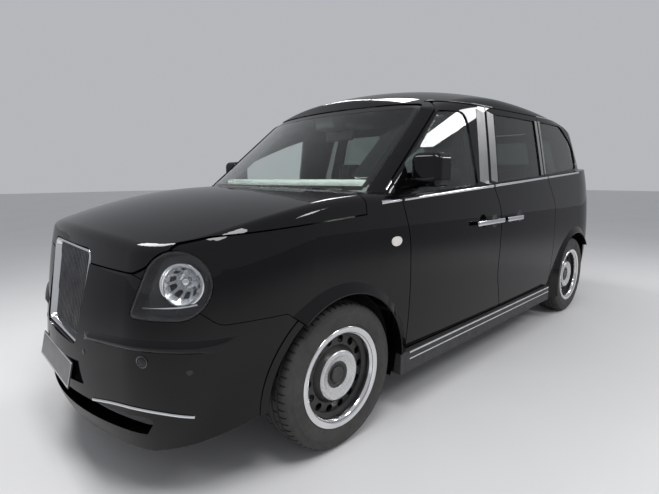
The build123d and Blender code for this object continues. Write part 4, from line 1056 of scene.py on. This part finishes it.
@dataclass
class Grille:
    """Chrome frame, upright dark bars and the black backing behind them."""

    base: Triple = (0, -2.372, 0.564)
    lean: float = 10.8
    base_half: float = 0.247
    top_half: float = 0.300
    height: float = 0.402
    frame: float = 0.020
    inset: float = 0.0005
    section: tuple[Pair, ...] = (
        (0.0, 0.003), (0.002, 0.003), (0.004, 0.0015), (0.005, -0.0015), (0.002, -0.004), (0.003, -0.034),
    )
    foot_radius: Pair = (0.030, 0.008)
    head_radius: Pair = (0.045, 0.012)
    bars: int = 25
    bar_width: float = 0.0075
    bar_depth: float = 0.022
    bar_edge: float = 0.0028
    tuck: float = 0.006
    bar_gap: float = 0.006
    depth: float = 0.046
    backing_inset: float = 0.004
    backing_edge: tuple[Pair, ...] = ((0.010, 0.0), (0.004, 0.004))

    @property
    def place(self) -> Matrix:
        """Plane of the grille."""
        return ahead_facing(self.base, self.lean)

    def corners(self, inward: float) -> list[Triple]:
        """Outline moved inward.

        Args:
            inward: How far.

        Returns:
            Across, up and corner radius of the four corners.
        """
        low, high = self.base_half - inward, self.top_half - inward
        foot = max(self.foot_radius[0] - inward, self.foot_radius[1])
        head = max(self.head_radius[0] - inward, self.head_radius[1])
        top = self.height - inward
        return [(-low, inward, foot), (low, inward, foot), (high, top, head), (-high, top, head)]

    def build(self, shop: Workshop) -> None:
        """Make the frame, bars and backing.

        Args:
            shop: Workshop that makes the pieces.
        """
        ring = frame_ring(self.corners(self.inset), self.place, self.section)
        piece = shop.piece("grille_frame", ring, "body", Coat.CHROME, 50.0)
        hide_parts("grille")
        self.upright(shop)
        place = self.place @ Matrix.Translation((0, 0, -self.depth))
        back = pane(self.corners(self.backing_inset), place, self.backing_edge)
        shop.piece("grille_backing", back, "body", Coat.TRIM)

    def upright(self, shop: Workshop) -> None:
        """Make the bars with rounded fronts, cut to the opening.

        Args:
            shop: Workshop that makes the piece.
        """
        mesh = bmesh.new()
        pitch = 2 * self.top_half / (self.bars + 1)
        rise = self.height - 2 * self.frame + 2 * self.tuck
        foot, back = self.frame - self.tuck, -self.depth + self.bar_gap
        for index in range(self.bars):
            x = (index - (self.bars - 1) / 2) * pitch
            bar = box_mesh((x - self.bar_width / 2, foot, back),
                           (x + self.bar_width / 2, foot + rise, back + self.bar_depth), self.bar_edge)
            data = bpy.data.meshes.new("bar")
            bar.to_mesh(data)
            mesh.from_mesh(data)
            bar.free()
            bpy.data.meshes.remove(data)
        slope = (self.top_half - self.base_half) / self.height
        for side in (1, -1):
            edge = Vector((side * (self.base_half - self.frame + self.tuck), 0, 0))
            bmesh.ops.bisect_plane(mesh, geom=mesh.verts[:] + mesh.edges[:] + mesh.faces[:], plane_co=edge,
                                   plane_no=(side, -slope, 0), clear_outer=True)
        bmesh.ops.transform(mesh, matrix=self.place, verts=mesh.verts)
        shop.piece("grille_bars", mesh, "body", Coat.DARK_CHROME, 60.0)


@dataclass
class Headlamp:
    """Ribbed reflector, its ring, the shield before its bulb, and the light guide."""

    side: str
    centre: Triple = (0.777, -2.172, 0.873)
    angle: float = 48.0
    bowl: Pair = (0.022, 0.006)
    sink: float = 0.012
    ring_sink: float = 0.008
    ribs: int = 10
    rib_steps: int = 6
    rib_faces: int = 2
    rib_pull: float = 0.90
    rib_end: float = 0.064
    wall: float = 0.001
    facet_angle: float = 5.0
    ring_steps: int = 64
    shield_steps: int = 40
    dish: tuple[Pair, ...] = (
        (-0.070, 0.012), (-0.066, 0.030), (-0.056, 0.042), (-0.040, 0.050), (-0.022, 0.0565),
        (-0.006, 0.062), (0.006, 0.0660), (0.010, 0.0690), (0.006, 0.0715),
    )
    ring: tuple[Pair, ...] = (
        (-0.002, 0.0690), (0.006, 0.0700), (0.010, 0.0730), (0.008, 0.0765), (0.000, 0.0785),
        (-0.008, 0.0770),
    )
    shield: tuple[Pair, ...] = (
        (-0.072, 0.010), (-0.050, 0.010), (-0.046, 0.016), (-0.038, 0.0180), (-0.030, 0.015),
        (-0.024, 0.009), (-0.022, 0.0),
    )
    guide: tuple[Pair, ...] = ((-0.160, -0.096), (-0.090, -0.092), (-0.020, -0.088), (0.040, -0.080))
    guide_width: Pair = (0.003, 0.010)
    outside: float = 0.2

    def place(self, out: float) -> Matrix:
        """Axis of the bowl.

        Args:
            out: How far it is moved out along itself.

        Returns:
            Matrix of the axis.
        """
        sign, angle = SIDES[self.side], math.radians(self.angle)
        across = Vector((sign * math.cos(angle), math.sin(angle), 0))
        ahead = Vector((sign * math.sin(angle), -math.cos(angle), 0))
        origin = Vector((sign * self.centre[0], *self.centre[1:])) + across * self.bowl[0]
        return facing(origin + Vector((0, 0, self.bowl[1])) + ahead * out, across * sign, ahead)

    def ray(self, across: float, up: float) -> Ray:
        """Ray that comes in along the lamp's axis, at distances on its plane."""
        place = self.place(self.outside)
        return place @ Vector((across, up, 0)), -place.col[2].xyz

    def reflector(self) -> Mesh:
        """Bowl with ribs that stand inward.

        Returns:
            The shape, in its place.
        """
        steps = self.ribs * self.rib_steps
        mesh = lathe(self.dish, Matrix(), steps)
        for vert in mesh.verts:
            turn = round(math.atan2(vert.co.y, vert.co.x) / math.tau * steps)
            if turn % self.rib_steps < self.rib_faces and math.hypot(vert.co.x, vert.co.y) < self.rib_end:
                vert.co.xy *= self.rib_pull
        bmesh.ops.transform(mesh, matrix=self.place(-self.sink), verts=mesh.verts)
        bmesh.ops.solidify(mesh, geom=list(mesh.faces), thickness=self.wall)
        bmesh.ops.recalc_face_normals(mesh, faces=mesh.faces)
        return mesh

    def build(self, shop: Workshop) -> None:
        """Make the lamp's inside.

        Args:
            shop: Workshop that makes the pieces.
        """
        shop.piece(f"reflector_{self.side}", self.reflector(), "body", Coat.REFLECTOR, self.facet_angle)
        ring = lathe(self.ring, self.place(-self.ring_sink), self.ring_steps, True)
        shop.piece(f"lamp_ring_{self.side}", ring, "body", Coat.CHROME)
        shield = lathe(self.shield, self.place(-self.sink), self.shield_steps)
        shop.piece(f"bulb_shield_{self.side}", shield, "body", Coat.CHROME)
        guide = Ribbon(self.guide, self.guide_width, ("headlamps",), self.ray, proud=0.003, crown=0.002)
        guide.lay(shop, f"light_guide_{self.side}", "body", Coat.REFLECTOR)


SENSOR = (
    (0.0, 0.0125), (0.0016, 0.0122), (0.0020, 0.0105), (0.0012, 0.0098), (0.0018, 0.0080), (0.0020, 0.0),
)
SENSOR_SINK = 0.0006
SENSOR_STEPS = 32


def sensor(shop: Workshop, name: str, node: str, ray: Ray) -> None:
    """Parking sensor: a small disc in its ring."""
    shop.piece(name, lathe(SENSOR, fitting(shop, node, ray, SENSOR_SINK), SENSOR_STEPS), "body", Coat.TRIM)


@dataclass
class Nose:
    """Bright strips, raised ledges, fog lamps and parking sensors of the front bumper."""

    strip: tuple[Pair, ...] = ((0.385, 0.376), (0.500, 0.396), (0.610, 0.403), (0.705, 0.395), (0.782, 0.372))
    strip_width: float = 0.012
    ledge: tuple[Pair, ...] = ((0.325, 0.628), (0.450, 0.640), (0.636, 0.655), (0.760, 0.656), (0.866, 0.646))
    ledge_width: Pair = (0.034, 0.050)
    fog: Pair = (0.680, 0.598)
    fog_sink: float = 0.002
    fog_steps: int = 40
    fog_ring: tuple[Pair, ...] = (
        (0.0, 0.0240), (0.0040, 0.0235), (0.0052, 0.0215), (0.0040, 0.0195), (0.0, 0.0190),
    )
    fog_glass: tuple[Pair, ...] = (
        (0.0008, 0.0192), (0.0026, 0.0190), (0.0042, 0.0150), (0.0050, 0.0080), (0.0052, 0.0),
    )
    sensors: tuple[Pair, ...] = ((0.330, 0.560), (0.800, 0.560))

    def build(self, shop: Workshop) -> None:
        """Lay the pieces on the bumper.

        Args:
            shop: Workshop that makes the pieces.
        """
        node = "front_bumper"
        for side, sign in SIDES.items():
            ray = self.ray(sign)
            strip = Ribbon(self.strip, self.strip_width, (node,), ray, proud=0.003, crown=0.003)
            strip.lay(shop, f"bumper_strip_{side}", "body", Coat.CHROME)
            ledge = Ribbon(self.ledge, self.ledge_width, (node,), ray, proud=0.0005, crown=0.012, long=80,
                           across=8, fade=0.12)
            ledge.lay(shop, f"bumper_ledge_{side}", "body", Coat.PAINT)
            place = fitting(shop, node, ray(*self.fog), self.fog_sink)
            ring = lathe(self.fog_ring, place, self.fog_steps, True)
            shop.piece(f"fog_ring_{side}", ring, "body", Coat.DARK_CHROME)
            glass = lathe(self.fog_glass, place, self.fog_steps)
            shop.piece(f"fog_glass_{side}", glass, "body", Coat.HOUSING)
            for index, spot in enumerate(self.sensors):
                sensor(shop, f"front_sensor_{index}_{side}", node, ray(*spot))

    @staticmethod
    def ray(sign: int) -> RayMaker:
        """Ray function of one half of the nose."""
        return lambda x, z: on_front(sign * x, z)


@dataclass
class Handles:
    """Chrome shells over the door grips, and a black cup beside each."""

    z: float = 0.965
    outer: float = 0.956
    grip: float = 0.014
    back_gap: float = 0.0012
    front_gap: float = 0.0018
    end_gap: float = 0.0015
    half_height: float = 0.0155
    edge: float = 0.0068
    spans: dict[str, Pair] = field(default_factory=lambda: {
        "door_front": (-0.372, -0.022), "door_rear": (0.034, 0.268)})
    cups: dict[str, float] = field(default_factory=lambda: {"door_front": -0.175, "door_rear": 0.285})
    cup_rise: float = 0.006
    cup_sink: float = 0.002
    cup_steps: int = 56
    well: tuple[Pair, ...] = (
        (0.0, 0.0420), (0.0032, 0.0415), (0.0036, 0.0390), (0.0026, 0.0340), (0.0024, 0.0),
    )

    def build(self, shop: Workshop) -> None:
        """Make both doors' pieces on both sides.

        Args:
            shop: Workshop that makes the pieces.
        """
        for side, sign in SIDES.items():
            for door, (start, stop) in self.spans.items():
                body = f"{door}_{side}"
                shop.piece(f"handle_{body}", self.shell(start, stop, sign), body, Coat.CHROME, 60.0)
                ray = on_side(self.cups[door], self.z + self.cup_rise, sign)
                cup = lathe(self.well, fitting(shop, body, ray, self.cup_sink), self.cup_steps)
                shop.piece(f"handle_cup_{body}", cup, body, Coat.FRIT)

    def shell(self, start: float, stop: float, sign: int) -> Mesh:
        """Shell round one grip.

        Args:
            start: Where the grip starts along the cab.
            stop: Where it ends.
            sign: Its side's sign along X.

        Returns:
            The shape.
        """
        low = (self.outer - self.grip - self.back_gap, start - self.end_gap, self.z - self.half_height)
        high = (self.outer + self.front_gap, stop + self.end_gap, self.z + self.half_height)
        mesh = box_mesh(low, high, self.edge, 5)
        if sign < 0:
            bmesh.ops.scale(mesh, vec=(-1, 1, 1), verts=mesh.verts)
            bmesh.ops.reverse_faces(mesh, faces=mesh.faces)
        return mesh


@dataclass
class Plates:
    """Silver borders round the blank number plates."""

    width: float = 0.520
    height: float = 0.111
    lean: float = 13.0
    front: Triple = (0, -2.4111, 0.446)
    front_proud: float = 0.0048
    rear_height: float = 0.520
    margin: float = 0.0035
    radius: float = 0.010
    section: tuple[Pair, ...] = ((0.0, 0.0005), (0.0006, 0.0003), (0.0030, 0.0), (0.0006, -0.0006))

    def build(self, shop: Workshop) -> None:
        """Make both borders.

        Args:
            shop: Workshop that makes the pieces.
        """
        proud = Matrix.Translation((0, 0, self.front_proud))
        places = {
            "front": ahead_facing(self.front, self.lean) @ proud,
            "rear": fitting(shop, "number_plates", on_rear(0, self.rear_height)),
        }
        corners = rectangle(self.width / 2 - self.margin, self.height / 2 - self.margin, self.radius)
        for name, place in places.items():
            ring = frame_ring(corners, place, self.section)
            shop.piece(f"plate_border_{name}", ring, "body", Coat.RING)


@dataclass
class Sills:
    """Bright treads along the sill steps."""

    start: float = -1.00
    pace: float = 0.49
    rows: tuple[Pair, ...] = ((0.334, 0.010), (0.298, 0.008))

    def build(self, shop: Workshop) -> None:
        """Lay two strips along each step.

        Args:
            shop: Workshop that makes the pieces.
        """
        for side, sign in SIDES.items():
            for index, (height, width) in enumerate(self.rows):
                line = [(self.start + step * self.pace, height) for step in range(5)]
                strip = Ribbon(line, width, ("sill_steps",), side_ray(sign), proud=0.002, crown=0.0015,
                               long=40)
                strip.lay(shop, f"sill_strip_{index}_{side}", "body", Coat.CHROME)


@dataclass
class Screen:
    """Black border of the windscreen, with the pod and mirror behind its top edge."""

    half_width: tuple[Pair, ...] = (
        # height, distance from the middle
        (1.195, 0.744), (1.300, 0.731), (1.400, 0.716), (1.500, 0.701), (1.600, 0.684), (1.655, 0.668),
    )
    foot: float = 1.188
    head: float = 1.650
    border: float = 0.026
    blocks: tuple[tuple[str, Triple, Triple, float, int], ...] = (
        # piece, lowest corner, highest corner, edge radius, faces across an edge
        ("camera_pod", (-0.095, -0.745, 1.560), (0.095, -0.630, 1.655), 0.018, 4),
        ("mirror_stem", (-0.014, -0.640, 1.545), (0.014, -0.602, 1.585), 0.006, 3),
        ("cabin_mirror", (-0.128, -0.612, 1.492), (0.128, -0.586, 1.562), 0.011, 4),
    )
    glass: Triple = (0.118, 0.026, 0.012)
    glass_edge: tuple[Pair, ...] = ((0.0, 0.0008), (0.0015, 0.0004))
    glass_place: Triple = (0, -0.5862, 1.527)

    def build(self, shop: Workshop) -> None:
        """Make the border and the fittings.

        Args:
            shop: Workshop that makes the pieces.
        """
        low, high = self.half_width[0][1], self.half_width[-1][1]
        rows = {"foot": level(low, self.foot), "head": level(high, self.head)}
        for side, sign in SIDES.items():
            rows[side] = [(sign * half, height) for height, half in self.half_width]
        for name, line in rows.items():
            ribbon = Ribbon(line, self.border, ("windscreen",), on_front, proud=0.0006)
            ribbon.lay(shop, f"screen_border_{name}", "body", Coat.FRIT)
        for name, low, high, edge, segments in self.blocks:
            shop.piece(name, box_mesh(low, high, edge, segments), "body", Coat.PLASTIC)
        glass = pane(rectangle(*self.glass), back_facing(self.glass_place), self.glass_edge)
        shop.piece("cabin_mirror_glass", glass, "body", Coat.MIRROR)


@dataclass
class DoorMirrors:
    """Glass, rim and turn lamp of each door mirror."""

    across: Pair = (0.843, 1.018)
    upright: Pair = (1.194, 1.368)
    back: float = -0.820
    rim: Pair = (0.005, 0.036)
    rim_section: tuple[Pair, ...] = ((0.0, 0.0030), (0.0020, 0.0010), (0.0050, 0.0), (0.0015, -0.0030))
    glass: Pair = (0.013, 0.029)
    glass_section: tuple[Pair, ...] = ((0.0, 0.0010), (0.0015, 0.0005))
    lamp: tuple[Pair, ...] = ((0.880, 1.236), (0.935, 1.231), (0.992, 1.238))
    lamp_width: Pair = (0.010, 0.014)

    def build(self, shop: Workshop) -> None:
        """Make both mirrors' pieces.

        Args:
            shop: Workshop that makes the pieces.
        """
        half = (self.across[1] - self.across[0]) / 2
        tall = (self.upright[1] - self.upright[0]) / 2
        for side, sign in SIDES.items():
            body = f"door_front_{side}"
            place = back_facing((sign * sum(self.across) / 2, self.back, sum(self.upright) / 2))
            margin, radius = self.rim
            ring = frame_ring(rectangle(half - margin, tall - margin, radius), place, self.rim_section)
            shop.piece(f"mirror_rim_{side}", ring, body, Coat.TRIM)
            margin, radius = self.glass
            glass = pane(rectangle(half - margin, tall - margin, radius), place, self.glass_section)
            shop.piece(f"mirror_glass_{side}", glass, body, Coat.MIRROR)
            line = [(sign * x, z) for x, z in self.lamp]
            lamp = Ribbon(line, self.lamp_width, (f"mirror_{side}",), on_front, proud=0.0016, crown=0.001,
                          long=30)
            lamp.lay(shop, f"mirror_turn_lamp_{side}", body, Coat.HOUSING)


@dataclass
class TailLamps:
    """Round lights in each tail lamp, with their rings."""

    across: float = 0.748
    radius: float = 0.046
    ring_width: float = 0.007
    ring_height: Pair = (0.0075, 0.0095)
    ring_round: float = 0.003
    sink: float = 0.004
    steps: int = 56
    rows: tuple[tuple[float, Coat], ...] = ((1.066, Coat.GLOW), (0.960, Coat.AMBER), (0.856, Coat.GLOW))
    dome: tuple[Pair, ...] = (
        # height, share of the light's radius
        (0.001, 1.0), (0.0040, 1.0), (0.0052, 0.93), (0.0046, 0.86), (0.0070, 0.74), (0.0062, 0.66),
        (0.0084, 0.50), (0.0076, 0.42), (0.0094, 0.22), (0.0096, 0.0),
    )

    def build(self, shop: Workshop) -> None:
        """Make both lamps' lights.

        Args:
            shop: Workshop that makes the pieces.
        """
        outer, inner = self.radius, self.radius - self.ring_width
        edge, top = self.ring_height
        ring = [(0.0, outer), (edge, outer), (top, outer - self.ring_round), (edge, inner), (0.0, inner)]
        dome = [(out, inner * share) for out, share in self.dome]
        for side, sign in SIDES.items():
            for index, (height, coat) in enumerate(self.rows):
                place = fitting(shop, "tail_lamps", on_rear(sign * self.across, height), self.sink)
                rim, light = lathe(ring, place, self.steps, True), lathe(dome, place, self.steps)
                shop.piece(f"tail_ring_{index}_{side}", rim, "body", Coat.CHROME)
                shop.piece(f"tail_light_{index}_{side}", light, "body", coat)


@dataclass
class TailgateTrim:
    """Bright handle, glass border, wiper and upper stop lamp of the tailgate."""

    foot: float = 1.290
    head: float = 1.624
    middle: float = 1.457
    low_half: float = 0.494
    high_half: float = 0.446
    border: float = 0.030
    handle: Pair = (0.30, 0.985)
    stop_lamp: Pair = (0.17, 1.662)
    pivot: Pair = (0.0, 1.302)
    arm: tuple[Pair, ...] = ((0.0, 1.302), (-0.15, 1.330), (-0.29, 1.372))
    blade: tuple[Pair, ...] = ((-0.08, 1.345), (-0.25, 1.385), (-0.42, 1.450))
    cap: tuple[Pair, ...] = ((0.0, 0.0200), (0.0120, 0.0195), (0.0160, 0.0160), (0.0172, 0.0))
    cap_sink: float = 0.001
    cap_steps: int = 40

    def laid(self, shop: Workshop, name: str, line: Line, width: float | Pair, coat: Coat,
             node: str, proud: float, crown: float = 0.0) -> None:
        """Lay one strip on the tailgate or its glass.

        Args:
            shop: Workshop that makes the piece.
            name: Name of the piece.
            line: Widths and heights that it runs through.
            width: Its width, or its widths at both ends.
            coat: Its finish.
            node: The solid it lies on.
            proud: How far its edges stand out.
            crown: How much farther its middle does.
        """
        ribbon = Ribbon(line, width, (node,), on_rear, proud=proud, crown=crown, long=48)
        ribbon.lay(shop, name, "tailgate", coat)

    def build(self, shop: Workshop) -> None:
        """Make the tailgate's pieces.

        Args:
            shop: Workshop that makes the pieces.
        """
        gate, glass = "tailgate", "glass_tailgate"
        self.laid(shop, "tailgate_handle", level(*self.handle), 0.034, Coat.CHROME, gate, 0.009, 0.006)
        self.laid(shop, "upper_stop_lamp", level(*self.stop_lamp), 0.016, Coat.RED, gate, 0.003)
        low, high = self.low_half, self.high_half
        rows = {"foot": level(low, self.foot), "head": level(high, self.head)}
        for side, sign in SIDES.items():
            halfway = (sign * (low + high) / 2, self.middle)
            rows[side] = [(sign * low, self.foot), halfway, (sign * high, self.head)]
        for name, line in rows.items():
            self.laid(shop, f"rear_glass_border_{name}", line, self.border, Coat.FRIT, glass, 0.0006)
        self.laid(shop, "rear_wiper_arm", self.arm, (0.024, 0.012), Coat.TRIM, glass, 0.012, 0.003)
        self.laid(shop, "rear_wiper_blade", self.blade, 0.010, Coat.RUBBER, glass, 0.009, 0.002)
        cap = lathe(self.cap, fitting(shop, glass, on_rear(*self.pivot), self.cap_sink), self.cap_steps)
        shop.piece("rear_wiper_cap", cap, "tailgate", Coat.TRIM)


@dataclass
class RearBumperTrim:
    """Bright strips, reflectors, lower lip and sensors of the rear bumper."""

    strips: tuple[tuple[str, tuple[Pair, ...], float, Coat], ...] = (
        # piece, line on one half, width, finish
        ("strip", ((0.400, 0.400), (0.560, 0.402), (0.690, 0.400), (0.770, 0.396)), 0.012, Coat.CHROME),
        ("reflector", ((0.540, 0.336), (0.620, 0.336), (0.700, 0.336)), 0.026, Coat.RED),
        ("lip", ((0.0, 0.262), (0.350, 0.262), (0.600, 0.266), (0.740, 0.272)), 0.018, Coat.PLASTIC),
    )
    sensors: tuple[Pair, ...] = ((0.360, 0.470), (0.720, 0.470))

    def build(self, shop: Workshop) -> None:
        """Lay the pieces on both halves.

        Args:
            shop: Workshop that makes the pieces.
        """
        node = "rear_bumper"
        for side, sign in SIDES.items():
            for name, line, width, coat in self.strips:
                run = [(sign * x, z) for x, z in line]
                ribbon = Ribbon(run, width, (node,), on_rear, proud=0.003, crown=0.002, long=48)
                ribbon.lay(shop, f"rear_bumper_{name}_{side}", "body", coat)
            for index, (x, z) in enumerate(self.sensors):
                sensor(shop, f"rear_sensor_{index}_{side}", node, on_rear(sign * x, z))


@dataclass
class Dash:
    """Pale pad with its slots, instrument hood, screen and vents of the dashboard."""

    driver: float = -0.37
    hood_half: float = 0.150
    hood_y: Pair = (-0.930, -0.812)
    hood_z: Pair = (1.050, 1.168)
    hood_edge: float = 0.022
    face: Triple = (0.120, 0.036, 0.014)
    face_edge: tuple[Pair, ...] = ((0.0, 0.0014), (0.0015, 0.0006))
    face_y: float = -0.8115
    face_z: float = 1.116
    steps: int = 48
    dials: Pair = (-0.062, 0.062)
    dial: tuple[Pair, ...] = ((0.0018, 0.0300), (0.0034, 0.0296), (0.0034, 0.0280), (0.0018, 0.0276))
    screen: tuple[Triple, Triple] = ((-0.112, -0.812, 0.950), (0.112, -0.788, 1.082))
    screen_edge: float = 0.007
    vents: tuple[Pair, ...] = ((-0.640, 1.010), (-0.165, 1.010), (0.165, 1.010), (0.640, 1.010))
    vent_y: float = -0.800
    vent_ring: tuple[Pair, ...] = (
        (-0.001, 0.0370), (0.0060, 0.0365), (0.0080, 0.0340), (0.0065, 0.0310), (0.0, 0.0300),
    )
    vent_well: tuple[Pair, ...] = ((0.0006, 0.0302), (0.0010, 0.0200), (0.0010, 0.0))
    slats: int = 5
    slats_size: Pair = (0.052, 0.044)
    slats_out: float = 0.0044
    slat_gap: float = 0.05
    slat_wall: float = 0.0025
    pad_half: float = 0.705
    pad_y: Pair = (-1.222, -0.950)
    pad_z: Pair = (1.110, 1.232)
    pad_edge: float = 0.028
    bend: float = 0.130
    bend_half: float = 0.7
    bend_step: float = 0.07
    bend_cuts: int = 9
    slots: tuple[float, ...] = (-0.56, -0.34, -0.12, 0.12, 0.34, 0.56)
    slot_half: float = 0.080
    slot_y: Pair = (0.070, 0.084)
    slot_z: Pair = (-0.002, 0.0008)
    slot_edge: float = 0.0006

    def build(self, shop: Workshop) -> None:
        """Make the dashboard's pieces.

        Args:
            shop: Workshop that makes the pieces.
        """
        hood = box_mesh((self.driver - self.hood_half, self.hood_y[0], self.hood_z[0]),
                        (self.driver + self.hood_half, self.hood_y[1], self.hood_z[1]), self.hood_edge, 4)
        shop.piece("instrument_hood", hood, "body", Coat.PLASTIC)
        place = back_facing((self.driver, self.face_y, self.face_z))
        face = pane(rectangle(*self.face), place, self.face_edge)
        shop.piece("instrument_face", face, "body", Coat.FRIT)
        for index, shift in enumerate(self.dials):
            dial = lathe(self.dial, place @ Matrix.Translation((shift, 0, 0)), self.steps, True)
            shop.piece(f"dial_ring_{index}", dial, "body", Coat.SATIN)
        shop.piece("centre_screen", box_mesh(*self.screen, self.screen_edge), "body", Coat.FRIT)
        for index, (x, z) in enumerate(self.vents):
            self.vent(shop, index, back_facing((x, self.vent_y, z)))
        self.top(shop)

    def curve(self, mesh: Mesh) -> None:
        """Bend a shape across the cab as the windscreen's foot bends."""
        for vert in mesh.verts:
            vert.co.y += self.bend * (vert.co.x / self.bend_half) ** 2

    def top(self, shop: Workshop) -> None:
        """Make the pad on the dashboard, with its slots.

        Args:
            shop: Workshop that makes the pieces.
        """
        pad = box_mesh((-self.pad_half, self.pad_y[0], self.pad_z[0]),
                       (self.pad_half, self.pad_y[1], self.pad_z[1]), self.pad_edge, 4)
        for step in range(-self.bend_cuts, self.bend_cuts + 1):
            bmesh.ops.bisect_plane(pad, geom=pad.verts[:] + pad.edges[:] + pad.faces[:],
                                   plane_co=(step * self.bend_step, 0, 0), plane_no=(1, 0, 0))
        self.curve(pad)
        shop.piece("dash_pad", pad, "body", Coat.DASH)
        front, top = self.pad_y[0], self.pad_z[1]
        for index, x in enumerate(self.slots):
            slit = box_mesh((x - self.slot_half, front + self.slot_y[0], top + self.slot_z[0]),
                            (x + self.slot_half, front + self.slot_y[1], top + self.slot_z[1]),
                            self.slot_edge, 1)
            bmesh.ops.subdivide_edges(slit, edges=slit.edges[:], cuts=2, use_grid_fill=True)
            self.curve(slit)
            shop.piece(f"dash_slot_{index}", slit, "body", Coat.FRIT)

    def vent(self, shop: Workshop, index: int, place: Matrix) -> None:
        """Make a round air vent with a bright ring and slats.

        Args:
            shop: Workshop that makes the pieces.
            index: Number of the vent.
            place: Where it is.
        """
        ring, well = lathe(self.vent_ring, place, self.steps, True), lathe(self.vent_well, place, self.steps)
        shop.piece(f"vent_ring_{index}", ring, "body", Coat.SATIN)
        shop.piece(f"vent_well_{index}", well, "body", Coat.FRIT)
        mesh = bmesh.new()
        bmesh.ops.create_grid(mesh, x_segments=1, y_segments=self.slats, size=0.5)
        rims = bmesh.ops.inset_individual(mesh, faces=mesh.faces[:], thickness=self.slat_gap, depth=0.0)
        bmesh.ops.delete(mesh, geom=rims["faces"], context="FACES")
        bmesh.ops.scale(mesh, vec=(*self.slats_size, 1), verts=mesh.verts)
        mesh.normal_update()
        bmesh.ops.solidify(mesh, geom=mesh.faces[:], thickness=self.slat_wall)
        out = Matrix.Translation((0, 0, self.slats_out))
        bmesh.ops.transform(mesh, matrix=place @ out, verts=mesh.verts)
        bmesh.ops.recalc_face_normals(mesh, faces=mesh.faces)
        shop.piece(f"vent_slats_{index}", mesh, "body", Coat.PLASTIC)


@dataclass
class Pads:
    """Seat cushions blown up from their packed blocks, with sewn channels."""

    seats: dict[str, tuple[float, tuple[float, ...]]] = field(default_factory=lambda: {
        # node: largest swell, widths across the cab where channels are sewn
        "driver_seat": (0.024, (-0.50, -0.43, -0.37, -0.31, -0.24)),
        "rear_bench": (0.028, (-0.40, -0.20, 0.0, 0.20, 0.40)),
        "folding_seats": (0.016, (-0.41, -0.31, -0.21, 0.21, 0.31, 0.41)),
    })
    voxel: float = 0.012
    shrink: float = 0.55
    pressure: float = 4.0
    quality: int = 5
    frames: int = 14
    rounds: int = 2
    roundness: float = 0.6
    channel: float = 0.0055
    channel_reach: float = 2.2

    def shrunk(self, node: bpy.types.Object, name: str,
               reach: float) -> tuple[bpy.types.Object, list[Vector]]:
        """Copy a packed cushion in even small faces and pull it in.

        Args:
            node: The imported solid.
            name: Name of the copy.
            reach: Farthest that a point may move.

        Returns:
            The copy, and its points before they were pulled in.
        """
        obj = bpy.data.objects.new(name, node.data.copy())
        bpy.context.scene.collection.objects.link(obj)
        remesh = obj.modifiers.new("remesh", "REMESH")
        remesh.mode, remesh.voxel_size = "VOXEL", self.voxel
        graph = bpy.context.evaluated_depsgraph_get()
        solid = bpy.data.meshes.new_from_object(obj.evaluated_get(graph))
        obj.modifiers.clear()
        obj.data = solid
        rest = [vert.co.copy() for vert in solid.vertices]
        mesh = bmesh.new()
        mesh.from_mesh(solid)
        for vert in mesh.verts:
            vert.co -= vert.normal * reach * self.shrink
        mesh.to_mesh(solid)
        mesh.free()
        return obj, rest

    def swell(self, node: bpy.types.Object, name: str, reach: float) -> Mesh:
        """Blow a copy of a packed cushion up with cloth pressure.

        Args:
            node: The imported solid.
            name: Name of the copy.
            reach: Farthest that a point may move.

        Returns:
            The padded shape.
        """
        obj, rest = self.shrunk(node, name, reach)
        cloth = obj.modifiers.new("cloth", "CLOTH")
        cloth.settings.use_pressure = True
        cloth.settings.uniform_pressure_force = self.pressure
        cloth.settings.effector_weights.gravity = 0
        cloth.settings.quality = self.quality
        scene = bpy.context.scene
        for step in range(1, self.frames + 1):
            scene.frame_set(step)
        graph = bpy.context.evaluated_depsgraph_get()
        blown = bpy.data.meshes.new_from_object(obj.evaluated_get(graph))
        mesh = bmesh.new()
        mesh.from_mesh(blown)
        for vert, start in zip(mesh.verts, rest):
            move = vert.co - start
            if move.length > reach:
                vert.co = start + move * (reach / move.length)
        for _ in range(self.rounds):
            bmesh.ops.smooth_vert(mesh, verts=mesh.verts, factor=0.5, use_axis_x=True, use_axis_y=True,
                                  use_axis_z=True)
        bpy.data.objects.remove(obj)
        scene.frame_set(1)
        return mesh

    def build(self, shop: Workshop) -> None:
        """Replace every packed cushion.

        Args:
            shop: Workshop that makes the pieces.
        """
        for node, (reach, lines) in self.seats.items():
            mesh = self.swell(shop.nodes[node], f"{node}_blown", reach)
            bmesh.ops.subdivide_edges(mesh, edges=mesh.edges[:], cuts=1, use_grid_fill=True,
                                      smooth=self.roundness)
            mesh.normal_update()
            for vert in mesh.verts:
                near = min(abs(vert.co.x - line) for line in lines)
                if near < self.channel_reach * self.channel:
                    vert.co -= vert.normal * self.channel * math.exp(-((near / self.channel) ** 2))
            piece = shop.piece(f"{node}_cover", mesh, "body", Coat.LEATHER, 60.0)
            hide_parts(node)


def assemblies() -> list[Assembly]:
    """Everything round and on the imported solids.

    Returns:
        The assemblies in the order of their making.
    """
    wheels = [Wheel(axle, side) for axle in AXLES for side in SIDES]
    front = [Grille(), *[Headlamp(side) for side in SIDES], Nose()]
    sides = [Handles(), Plates(), Sills(), Screen(), DoorMirrors()]
    rear = [TailLamps(), TailgateTrim(), RearBumperTrim()]
    return [Studio(), Shell(), BrightWork(), *wheels, *front, *sides, *rear, Dash(), Pads()]


def main() -> None:
    """Build the scene."""
    logging.basicConfig(level=logging.INFO, format="%(name)s: %(message)s")
    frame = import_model()
    shop = Workshop(frame["nodes"])
    for assembly in assemblies():
        assembly.build(shop)
        LOG.info("%s done", type(assembly).__name__)


if __name__ == "__main__":
    main()
